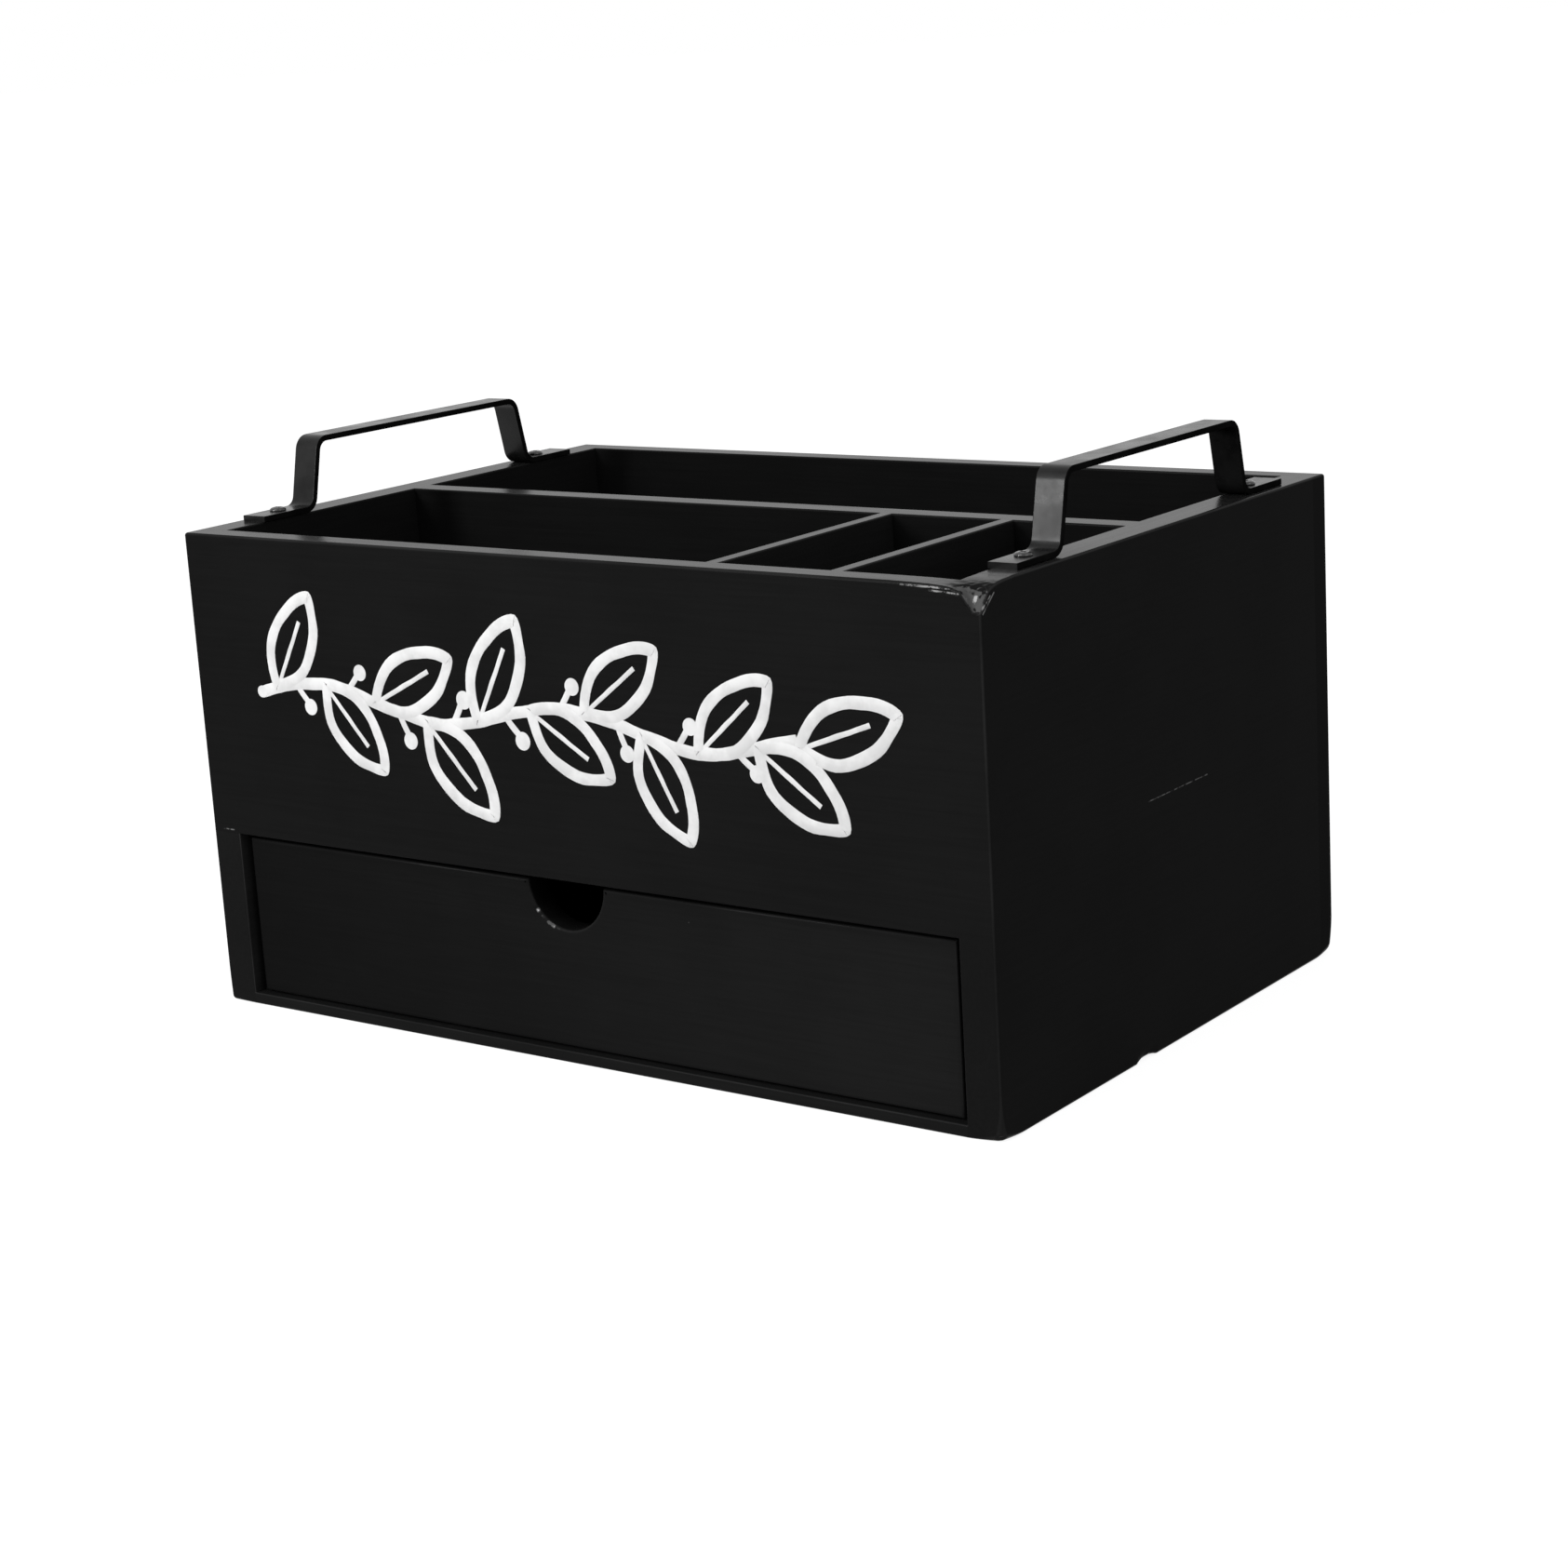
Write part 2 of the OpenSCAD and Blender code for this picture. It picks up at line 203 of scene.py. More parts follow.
key_lamp = softbox("key_lamp", -14, 48, 2.2, 1.2, 1.2, 3.8)
side_fill = softbox("side_fill", 78, 36, 2.2, 1.0, 1.0, 2.2)
rim_softbox = softbox("rim_softbox", -25.5, 22, 1.5, 0.19, 0.50, 40.0)
print("lamps:", key_lamp.name, side_fill.name, rim_softbox.name)

# %% [markdown]
# ## Shader groups
# Four effects come back in several finishes, so each is a node group that puts out masks and values.
# Grain: brush marks and wood fibres that telegraph through the paint, long along the board.
# Specks: scattered nibs of dust caught in the paint.
# Breaks: the ragged edge of a chip or rub, from a soft mask that is stored on the mesh.
# Scrape: a thin broken line between two points.

# %% The grain group


def new_group(name, inputs, outputs):
    """An empty shader group with named inputs and outputs, and its two end nodes."""
    tree = bpy.data.node_groups.new(name, "ShaderNodeTree")
    for label, kind, value in inputs:
        socket = tree.interface.new_socket(label, in_out="INPUT", socket_type=kind)
        if value is not None:
            socket.default_value = value
    for label in outputs:
        tree.interface.new_socket(label, in_out="OUTPUT", socket_type="NodeSocketFloat")
    return tree, add(tree, "NodeGroupInput").outputs, add(tree, "NodeGroupOutput").inputs


def noise_value(tree, place, scale, detail=2.0, roughness=0.5, distortion=0.0):
    """A smooth random value over a place."""
    inputs = {"Vector": place, "Scale": scale, "Detail": detail, "Roughness": roughness, "Distortion": distortion}
    return add(tree, "ShaderNodeTexNoise", inputs).outputs["Fac"]


VECTOR, FLOAT = "NodeSocketVector", "NodeSocketFloat"
grain_inputs = [("Place", VECTOR, None), ("Stretch", VECTOR, (1, 1, 1)), ("Fibre Size", FLOAT, 0.0011)]
grain_group, given, result = new_group("painted_grain", grain_inputs, ["Fibre", "Rings", "Cloud", "Height"])
stretched = add(grain_group, "ShaderNodeVectorMath", {0: given["Place"], 1: given["Stretch"]}, operation="MULTIPLY")
per_metre = math_node(grain_group, "DIVIDE", 1.0, given["Fibre Size"])
fibre = noise_value(grain_group, stretched.outputs[0], per_metre, 3.0, 0.62)
ring_scale = math_node(grain_group, "MULTIPLY", per_metre, 0.16)
rings = noise_value(grain_group, stretched.outputs[0], ring_scale, 2.0, 0.5, 0.9)
ring_bands = math_node(grain_group, "SINE", math_node(grain_group, "MULTIPLY", rings, 46.0))
cloud = noise_value(grain_group, given["Place"], 22.0, 3.0, 0.55)
orange_peel = noise_value(grain_group, given["Place"], 1500.0, 1.0, 0.5)
fibre_height = math_node(grain_group, "MULTIPLY", fibre, 0.40)
ring_height = math_node(grain_group, "MULTIPLY", ring_bands, 0.07)
peel_height = math_node(grain_group, "MULTIPLY", orange_peel, 0.22)
heights = math_node(grain_group, "ADD", math_node(grain_group, "ADD", fibre_height, ring_height), peel_height)
for label, value in {"Fibre": fibre, "Rings": ring_bands, "Cloud": cloud, "Height": heights}.items():
    grain_group.links.new(value, result[label])
print("group:", grain_group.name)

# %% The specks group
speck_inputs = [("Place", VECTOR, None), ("Spacing", FLOAT, 0.02), ("Size", FLOAT, 0.03)]
speck_group, given, result = new_group("dust_specks", speck_inputs, ["Mask"])
per_metre = math_node(speck_group, "DIVIDE", 1.0, given["Spacing"])
cells = add(speck_group, "ShaderNodeTexVoronoi", {"Vector": given["Place"], "Scale": per_metre})
near = math_node(speck_group, "DIVIDE", cells.outputs["Distance"], given["Size"])
dot = ramp(speck_group, near, 1.0, 0.6)
lot = add(speck_group, "ShaderNodeSeparateColor", {0: cells.outputs["Color"]}).outputs[0]
chosen = math_node(speck_group, "GREATER_THAN", lot, 0.72)
speck_group.links.new(math_node(speck_group, "MULTIPLY", dot, chosen), result["Mask"])
print("group:", speck_group.name)

# %% The breaks group
break_inputs = [("Place", VECTOR, None), ("Soft Mask", FLOAT, 0.0), ("Grit Size", FLOAT, 0.0012)]
break_group, given, result = new_group("ragged_breaks", break_inputs, ["Broken", "Deep"])
per_metre = math_node(break_group, "DIVIDE", 1.0, given["Grit Size"])
grit = noise_value(break_group, given["Place"], per_metre, 3.0, 0.68)
spread = math_node(break_group, "ADD", given["Soft Mask"], math_node(break_group, "SUBTRACT", grit, 0.5))
scaled = math_node(break_group, "MULTIPLY", spread, given["Soft Mask"])
break_group.links.new(ramp(break_group, scaled, 0.30, 0.42), result["Broken"])
break_group.links.new(ramp(break_group, scaled, 0.66, 0.84), result["Deep"])
print("group:", break_group.name)

# %% The scrape group
scrape_inputs = [("Place", VECTOR, None), ("Start", VECTOR, (0, 0, 0)), ("Way", VECTOR, (0, 1, 0))]
scrape_inputs += [("Length", FLOAT, 0.04), ("Width", FLOAT, 0.0002)]
scrape_group, given, result = new_group("fine_scrape", scrape_inputs, ["Mask"])
offset = add(scrape_group, "ShaderNodeVectorMath", {0: given["Place"], 1: given["Start"]}, operation="SUBTRACT")
along = add(scrape_group, "ShaderNodeVectorMath", {0: offset.outputs[0], 1: given["Way"]}, operation="DOT_PRODUCT")
held = math_node(scrape_group, "MINIMUM", math_node(scrape_group, "MAXIMUM", along.outputs["Value"], 0.0), given["Length"])
foot = add(scrape_group, "ShaderNodeVectorMath", {0: given["Way"], "Scale": held}, operation="SCALE")
gap = add(scrape_group, "ShaderNodeVectorMath", {0: offset.outputs[0], 1: foot.outputs[0]}, operation="DISTANCE")
line = ramp(scrape_group, math_node(scrape_group, "DIVIDE", gap.outputs["Value"], given["Width"]), 1.0, 0.3)
worn = ramp(scrape_group, noise_value(scrape_group, given["Place"], 420.0, 3.0, 0.7), 0.36, 0.54)
scrape_group.links.new(math_node(scrape_group, "MULTIPLY", line, worn), result["Mask"])
print("group:", scrape_group.name)

# %% [markdown]
# ## Black painted wood
# The finish is a thin black satin paint over wood. Seen straight on it is almost pure black, and at a
# glancing angle it flares to a pale grey, which is what draws the rims of the bins. One dielectric with
# the usual strength is too shiny straight on, so the paint is a weak gloss under a coat whose weight
# rises with the angle of view. Grain runs along each board, so there is one paint for boards that run
# left to right and one for boards that run front to back. Chips show grey primer and pale fibres.
# Lighter and darker copies of the paint, and tones graded across a board, are painted light and shade. Rounded edges
# get a painted highlight, the walls of the drawer opening painted light, and the wall of the notch and the sill
# painted shade.

# %% A function that mixes the paint
PAINT_BLACK = 0.0082
PRIMER_AND_SHEEN_GREY = 0.078
FIBRE_PALE = 0.40


def group_node(tree, group, inputs):
    """Place a shader group with its own values."""
    made = tree.nodes.new("ShaderNodeGroup")
    made.node_tree = group
    for key, value in inputs.items():
        if isinstance(value, bpy.types.NodeSocket):
            tree.links.new(value, made.inputs[key])
        else:
            made.inputs[key].default_value = value
    return made.outputs


def new_material(name):
    """A material with its node tree and the Principled shader's node."""
    made = bpy.data.materials.new(name)
    made.use_nodes = True
    return made, made.node_tree, made.node_tree.nodes["Principled BSDF"]


def painted_wood(name, stretch, scrapes=(), light_and_shade_by_x=(-1.0, 1.0, 1.0, 1.0)):
    """Black paint over wood whose grain follows the axis with the smallest stretch.

    Each scrape has a line and a strength. The tone is scaled by two factors from one x to another, as painted light
    and shade. The edge mask lightens the paint as a painted highlight and painted light, and the shade mask darkens it
    as painted shade.
    """
    made, tree, shader = new_material(name)
    place = add(tree, "ShaderNodeTexCoord").outputs["Object"]
    grain = group_node(tree, grain_group, {"Place": place, "Stretch": stretch})
    specks = group_node(tree, speck_group, {"Place": place, "Spacing": 0.024, "Size": 0.016})
    chip_and_sheen = add(tree, "ShaderNodeAttribute", attribute_name="chip_and_sheen").outputs["Fac"]
    breaks = group_node(tree, break_group, {"Place": place, "Soft Mask": chip_and_sheen})
    tone = ramp(tree, math_node(tree, "ADD", grain["Fibre"], grain["Cloud"]), 0.7, 1.3, 0.90, 1.12)
    # Painted light and shade: the tone is scaled by two factors from one x to another.
    along = add(tree, "ShaderNodeSeparateXYZ", {0: place}).outputs["X"]
    tone = math_node(tree, "MULTIPLY", tone, ramp(tree, along, *light_and_shade_by_x, smooth=False))
    # Painted shade: the shade mask darkens the colour and the coat, on the notch wall and the sill.
    shade = add(tree, "ShaderNodeAttribute", attribute_name="shade").outputs["Fac"]
    tone = math_node(tree, "MULTIPLY", tone, ramp(tree, shade, 0.0, 1.0, 1.0, 0.25, smooth=False))
    # Painted highlight: the edge mask, broken up by the cloud, lightens the paint and adds coat on rounded edges and
    # on the walls of the drawer opening.
    edge = add(tree, "ShaderNodeAttribute", attribute_name="edge").outputs["Fac"]
    painted_edge_light = math_node(tree, "MULTIPLY", edge, ramp(tree, grain["Cloud"], 0.35, 0.65, 0.5, 1.0))
    thin = math_node(tree, "ADD", math_node(tree, "MULTIPLY", painted_edge_light, 0.9), 1.0)
    lighter = math_node(tree, "MULTIPLY", math_node(tree, "MULTIPLY", tone, thin), PAINT_BLACK)
    paint = add(tree, "ShaderNodeCombineColor", {0: lighter, 1: lighter, 2: lighter}).outputs[0]
    # Broken paint shows primer grey and pale fibre; on the slumped top of the crushed corner the grey is also a
    # painted sheen.
    bare = blend_colours(tree, breaks["Deep"], grey(PRIMER_AND_SHEEN_GREY), grey(FIBRE_PALE))
    marks = breaks["Broken"]
    for strength, line in scrapes:
        scraped = group_node(tree, scrape_group, {"Place": place, **line})["Mask"]
        marks = math_node(tree, "MAXIMUM", marks, math_node(tree, "MULTIPLY", scraped, strength))
        bare = blend_colours(tree, scraped, bare, grey(FIBRE_PALE))
    nibbed = blend_colours(tree, math_node(tree, "MULTIPLY", specks["Mask"], 0.30), paint, grey(0.2))
    tree.links.new(blend_colours(tree, marks, nibbed, bare), shader.inputs["Base Color"])
    rough = ramp(tree, grain["Cloud"], 0.3, 0.7, 0.53, 0.59)
    tree.links.new(math_node(tree, "MAXIMUM", rough, math_node(tree, "MULTIPLY", marks, 0.8)), shader.inputs["Roughness"])
    shader.inputs["Specular IOR Level"].default_value = 0.0
    glance = add(tree, "ShaderNodeLayerWeight", {"Blend": 0.5}).outputs["Facing"]
    flare = ramp(tree, glance, 0.58, 0.78, 0.03, 0.59)
    shiny = math_node(tree, "MAXIMUM", flare, math_node(tree, "MULTIPLY", painted_edge_light, 0.13))
    streaked = math_node(tree, "MULTIPLY", shiny, ramp(tree, grain["Fibre"], 0.3, 0.75, 1.04, 0.95))
    covered = math_node(tree, "MULTIPLY", streaked, ramp(tree, marks, 0.0, 1.0, 1.0, 0.25))
    covered = math_node(tree, "MULTIPLY", covered, ramp(tree, shade, 0.0, 1.0, 1.0, 0.15, smooth=False))
    tree.links.new(covered, shader.inputs["Coat Weight"])
    shader.inputs["Coat Roughness"].default_value = 0.26
    relief = math_node(tree, "ADD", grain["Height"], math_node(tree, "MULTIPLY", specks["Mask"], 0.8))
    chipped = math_node(tree, "SUBTRACT", relief, math_node(tree, "MULTIPLY", marks, 1.2))
    bump = add(tree, "ShaderNodeBump", {"Strength": 0.16, "Distance": 0.00012, "Height": chipped}).outputs[0]
    tree.links.new(bump, shader.inputs["Normal"])
    tree.links.new(bump, shader.inputs["Coat Normal"])
    return made


LONG_X, LONG_Y, LONG_Z = (0.028, 1.0, 1.0), (1.0, 0.028, 1.0), (1.0, 1.0, 0.028)
# These copies differ only in tone, as painted light and shade: the base board and the drawer's back and bottom are
# lighter, the back panel, the long divider and the bin floor darker, and the cross dividers lighter.
paint_long_x_painted_light = painted_wood("black_paint_grain_left_right_painted_light", LONG_X, (), (-1.0, 1.0, 1.15, 1.15))
paint_inner_x_painted_shade = painted_wood("black_paint_inner_left_right_painted_shade", LONG_X, (), (-1.0, 1.0, 0.68, 0.68))
paint_long_y = painted_wood("black_paint_grain_front_back", LONG_Y)
paint_inner_y_painted_light = painted_wood("black_paint_inner_front_back_painted_light", LONG_Y, (), (-1.0, 1.0, 1.40, 1.40))
print("paints:", paint_long_x_painted_light.name, paint_inner_x_painted_shade.name, paint_long_y.name, paint_inner_y_painted_light.name)

# %% The paints with fine scrapes, and the tone of the front and the drawer front graded as painted shade and light


def scrape_line(start, end, width):
    """The inputs of a straight scrape from start to end, in metres."""
    run = Vector(end) - Vector(start)
    return {"Start": start, "Way": tuple(run.normalized()), "Length": run.length, "Width": width}


LIP_SCRAPES = [(0.7, scrape_line((0.1300, -0.1046, 0.1611), (0.1485, -0.1049, 0.1608), 0.00046))]
LIP_SCRAPES += [(0.8, scrape_line((0.1395, -0.1049, 0.1600), (0.1490, -0.1049, 0.1595), 0.00042))]
DASHES = (0.35, scrape_line((-0.1515, -0.1049, 0.0612), (-0.1463, -0.1049, 0.0612), 0.00034))
LIP_SCRAPES += [(0.6, scrape_line((0.156, -0.0995, 0.1584), (0.1558, -0.1046, 0.1545), 0.00045))]
LIP_SCRAPES += [(0.5, scrape_line((0.156, -0.0975, 0.1590), (0.156, -0.1035, 0.1540), 0.00040))]
SIDE_SCRAPES = [(0.35, scrape_line((0.156, -0.0183, 0.0803), (0.156, 0.0207, 0.0804), 0.00028))]
paint_right_end = painted_wood("black_paint_right_end", LONG_Y, SIDE_SCRAPES)
# The front panel gets darker towards the left, a painted shade; the drawer front runs from dark at the left to light
# at the right, a painted shade and light.
paint_front = painted_wood("black_paint_front", LONG_X, LIP_SCRAPES + [DASHES], (-0.156, 0.156, 0.84, 1.00))
paint_drawer_light_and_shade = painted_wood("black_paint_drawer_light_and_shade", LONG_X, (), (-0.145, 0.145, 0.62, 1.36))
print("paints:", paint_right_end.name, paint_front.name, paint_drawer_light_and_shade.name)

# %% [markdown]
# ## Steel, screws and white paint
# The handles are flat steel, powder coated in satin black: a finer, even skin that shines more than the
# wood paint. The screws are blackened, worn bright on their high points. The sprig is thick white
# craft paint with soft brush streaks. The hidden brads are plain bright steel.

# %% Metal and white finishes


def coated_steel(name, colour, roughness, level, bare=0.0, cut=None):
    """A dark skin over steel, a little bare where it rubs and duller on cut sides; cut gives their place."""
    made, tree, shader = new_material(name)
    place = add(tree, "ShaderNodeTexCoord").outputs["Object"]
    fine = noise_value(tree, place, 2600.0, 2.0, 0.6)
    cloudy = noise_value(tree, place, 90.0, 3.0, 0.6)
    dark = math_node(tree, "MULTIPLY", ramp(tree, cloudy, 0.3, 0.7, 0.7, 1.4), colour)
    skin = add(tree, "ShaderNodeCombineColor", {0: dark, 1: dark, 2: dark}).outputs[0]
    rubs = ramp(tree, noise_value(tree, place, 700.0, 4.0, 0.75), 0.78 - bare, 0.84 - bare)
    tree.links.new(blend_colours(tree, math_node(tree, "MULTIPLY", rubs, 0.3), skin, grey(0.2)), shader.inputs["Base Color"])
    tree.links.new(ramp(tree, cloudy, 0.3, 0.7, roughness - 0.04, roughness + 0.06), shader.inputs["Roughness"])
    shader.inputs["Specular IOR Level"].default_value = level
    if cut:
        across = math_node(tree, "ABSOLUTE", add(tree, "ShaderNodeSeparateXYZ", {0: place}).outputs["X"])
        from_middle = math_node(tree, "ABSOLUTE", math_node(tree, "SUBTRACT", across, cut[0]))
        sheared = ramp(tree, from_middle, cut[1] - 0.0003, cut[1] - 0.0001)
        dull = ramp(tree, sheared, 0.0, 1.0, level, 0.0, smooth=False)
        tree.links.new(dull, shader.inputs["Specular IOR Level"])
        rougher = ramp(tree, sheared, 0.0, 1.0, 0.0, 0.5, smooth=False)
        skin_rough = ramp(tree, cloudy, 0.3, 0.7, roughness - 0.04, roughness + 0.06)
        tree.links.new(math_node(tree, "MAXIMUM", skin_rough, rougher), shader.inputs["Roughness"])
    bump = add(tree, "ShaderNodeBump", {"Strength": 0.25, "Distance": 0.00004, "Height": fine}).outputs[0]
    tree.links.new(bump, shader.inputs["Normal"])
    return made


strap_low, strap_high = (abs(v.x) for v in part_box("right_handle"))
STRAP_W = strap_high - strap_low
STRAP_SIDES = ((strap_low + strap_high) / 2, STRAP_W / 2)
handle_steel = coated_steel("handle_black_satin", 0.005, 0.27, 0.145, cut=STRAP_SIDES)
screw_black = coated_steel("screw_blackened", 0.012, 0.20, 0.55, 0.12)

brad_steel, tree, shader = new_material("brad_bright_steel")
place = add(tree, "ShaderNodeTexCoord").outputs["Object"]
drawn_marks = noise_value(tree, place, 900.0, 2.0, 0.6)
tree.links.new(ramp(tree, drawn_marks, 0.3, 0.7, 0.25, 0.42), shader.inputs["Roughness"])
tree.links.new(blend_colours(tree, drawn_marks, grey(0.42), grey(0.56)), shader.inputs["Base Color"])
shader.inputs["Metallic"].default_value = 1.0

white_paint, tree, shader = new_material("white_craft_paint")
place = add(tree, "ShaderNodeTexCoord").outputs["Object"]
streaks = noise_value(tree, place, 800.0, 3.0, 0.6)
patches = noise_value(tree, place, 130.0, 3.0, 0.6)
tree.links.new(blend_colours(tree, ramp(tree, patches, 0.35, 0.65), grey(0.66), grey(0.77)), shader.inputs["Base Color"])
tree.links.new(ramp(tree, streaks, 0.3, 0.7, 0.42, 0.60), shader.inputs["Roughness"])
shader.inputs["Specular IOR Level"].default_value = 0.25
bump = add(tree, "ShaderNodeBump", {"Strength": 0.3, "Distance": 0.00006, "Height": streaks}).outputs[0]
tree.links.new(bump, shader.inputs["Normal"])
print("finishes:", handle_steel.name, screw_black.name, brad_steel.name, white_paint.name)

# %% [markdown]
# ## How the boards are made
# Once glued, nailed and sanded, the boards of such a box read as one block: the joints are flush and
# painted over, and only the outer corners, the rims of the bins and the mouth of the drawer are eased.
# So each board is a shell on one shared set of cuts, and every vertex goes through the same easing, which
# depends only on its place. Neighbouring boards then meet exactly, and no groove opens at a joint.
# A Bevel modifier on each board would round the joints as well, and show seams that the paint hides.

# %% Sizes of the block
low, high = (np.array(v) for v in (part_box("front_panel")[0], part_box("back_panel")[1]))
BOX_W, BOX_D, BOX_H = high[0] - low[0], high[1] - low[1], high[2]
FILM = 0.00012
OUTER_R, RIM_R, MOUTH_R = 0.0010, 0.0006, 0.0005
FOOT_R, FOOT_REACH = (0.0016, 0.0040), 0.012
FRONT = low[1] + FILM
BLOCK_LOW = np.array([low[0], FRONT, 0.0])
BLOCK_HIGH = np.array([high[0], high[1], BOX_H])
inner_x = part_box("left_end_panel")[1].x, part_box("right_end_panel")[0].x
inner_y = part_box("front_panel")[1].y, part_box("back_panel")[0].y
divider_low, divider_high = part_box("long_divider")
cross = [(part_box(n)[0].x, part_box(n)[1].x) for n in ("left_cross_divider", "right_cross_divider")]
BINS = [(inner_x[0], inner_x[1], divider_high.y, inner_y[1])]
BINS += [(inner_x[0], cross[0][0], inner_y[0], divider_low.y)]
BINS += [(cross[0][1], cross[1][0], inner_y[0], divider_low.y)]
BINS += [(cross[1][1], inner_x[1], inner_y[0], divider_low.y)]
MOUTH = (inner_x[0], inner_x[1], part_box("base_board")[1].z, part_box("front_panel")[0].z)
print("bins in mm:", [[round(v / MM, 1) for v in b] for b in BINS])

# %% The easing of an edge


def ease_block(points):
    """Round the twelve outer edges of the block, and the two right corners that it stands on much more."""
    to_side = np.minimum(points - BLOCK_LOW, BLOCK_HIGH - points)
    from_foot = np.maximum(np.max(to_side[:, :2], axis=1), points[:, 2])
    worn = np.clip(1 - from_foot / FOOT_REACH, 0, 1) ** 1.5
    foot = np.where(points[:, 0] < 0, FOOT_R[0], FOOT_R[1])
    radius = (OUTER_R + (foot - OUTER_R) * worn)[:, None]
    core = np.clip(points, BLOCK_LOW + radius, BLOCK_HIGH - radius)
    away = points - core
    reach = np.linalg.norm(away, axis=1, keepdims=True)
    return np.where(reach > radius, core + away / np.maximum(reach, 1e-9) * radius, points)


def ease_rim(points, rim, across, depth, surface, sign, radius):
    """Round the edge where a face is cut by an opening; sign says which way the face looks."""
    a, b = across
    out_a = np.maximum(rim[0] - points[:, a], points[:, a] - rim[1])
    out_b = np.maximum(rim[2] - points[:, b], points[:, b] - rim[3])
    out = np.maximum(out_a, out_b)
    under = (surface - points[:, depth]) * sign
    near = (out > -1e-6) & (out < radius) & (under > -1e-6) & (under < radius)
    run, fall = out - radius, under - radius
    length = np.maximum(np.hypot(run, fall), 1e-9)
    pull = np.where(near & (length > radius), radius / length, 1.0)
    shift = np.where(near, run * pull - run, 0.0)
    moved = points.copy()
    on_a = out_a >= out_b
    middle_a, middle_b = (rim[0] + rim[1]) / 2, (rim[2] + rim[3]) / 2
    moved[:, a] += np.where(on_a, shift * np.sign(points[:, a] - middle_a), 0.0)
    moved[:, b] += np.where(~on_a, shift * np.sign(points[:, b] - middle_b), 0.0)
    moved[:, depth] = np.where(near, surface - sign * (radius + fall * pull), moved[:, depth])
    return moved


def ease_all(points):
    """Every easing of the block: outer edges, rims of the bins, mouth of the drawer."""
    points = ease_block(points)
    for rim in BINS:
        points = ease_rim(points, rim, (0, 1), 2, BOX_H, 1, RIM_R)
    return ease_rim(points, MOUTH, (0, 2), 1, FRONT, -1, MOUTH_R)


def edge_mask(before, after):
    """1 in the middle of each rounded edge and 0 on the flats, from how far the easing moved a point."""
    return np.clip(np.linalg.norm(after - before, axis=1) / (0.36 * MOUTH_R), 0, 1)


def mouth_painted_light(points):
    """Painted light on the walls of the drawer opening, strongest at its mouth."""
    beside = np.minimum(np.abs(points[:, 0] - MOUTH[0]), np.abs(points[:, 0] - MOUTH[1])) < 1e-5
    inside = beside & (points[:, 2] > MOUTH[2] - 1e-5) & (points[:, 2] < MOUTH[3] + 1e-5)
    return np.where(inside, 2.0 * np.clip(1 - (points[:, 1] - FRONT) / 0.009, 0, 1), 0.0)


def mouth_shade(points):
    """Painted shade on the sill that the drawer front is set back over."""
    sill = np.abs(points[:, 2] - MOUTH[2]) < 1e-5
    inside = sill & (points[:, 0] > MOUTH[0]) & (points[:, 0] < MOUTH[1]) & (points[:, 1] > FRONT + 0.0004)
    return np.where(inside, 0.30, 0.0)


print("easing radii in mm:", OUTER_R / MM, RIM_R / MM, MOUTH_R / MM)

# %% [markdown]
# ## The shared cuts
# A rounded edge needs cuts at the right distances: evenly spaced in angle, they get closer towards the
# edge. One more cut just past the rounding keeps its shading off the flat face.

# %% Cuts along each axis


def cut_steps(radius, count):
    """Distances from an edge that give evenly turned faces, and a guard cut past them."""
    steps = [radius * (1 - math.tan(math.pi / 4 * i / count)) for i in range(count + 1)]
    return steps + [radius + 0.0004]


def cuts_for(outer, inner):
    """All cuts of one axis: outer edges are eased inwards, inner ones to both sides."""
    found = set()
    for edge, way in outer:
        found |= {edge + way * s for s in cut_steps(OUTER_R, 4)}
        found |= {edge + way * s for s in (0.0019, 0.0026, 0.0035, 0.0045, 0.0065, 0.009, 0.012)}
    for edge in inner:
        found |= {edge + way * s for s in cut_steps(RIM_R, 3) for way in (-1, 1)}
        found |= {edge + way * s for s in cut_steps(MOUTH_R, 3) for way in (-1, 1)}
    return found


def grid_of(cuts, start, end, dense=()):
    """Sorted cuts from start to end, with an even fine step inside each dense zone."""
    kept = {c for c in cuts if start + 1e-5 < c < end - 1e-5} | {start, end}
    for zone in dense:
        first, last, step = max(zone[0], start), min(zone[1], end), zone[2]
        kept |= {first + step * i for i in range(int((last - first) / step) + 1)} if last > first else set()
    ordered = sorted(kept)
    clean = [ordered[0]]
    for cut in ordered[1:]:
        if cut - clean[-1] > 4e-5:
            clean.append(cut)
    clean[-1] = end
    return np.array(clean)


CUTS_X = cuts_for([(BLOCK_LOW[0], 1), (BLOCK_HIGH[0], -1)], {v for rim in BINS for v in rim[:2]})
CUTS_Y = cuts_for([(BLOCK_LOW[1], 1), (BLOCK_HIGH[1], -1)], {v for rim in BINS for v in rim[2:]})
CUTS_Z = cuts_for([(BLOCK_LOW[2], 1), (BLOCK_HIGH[2], -1)], set(MOUTH[2:]))
CUTS_Z |= {BOX_H - s for s in cut_steps(RIM_R, 3)}
CUTS_Y |= {FRONT + s for s in cut_steps(MOUTH_R, 3)}
print("cuts:", len(CUTS_X), len(CUTS_Y), len(CUTS_Z))

# %% A shell on a grid of cuts


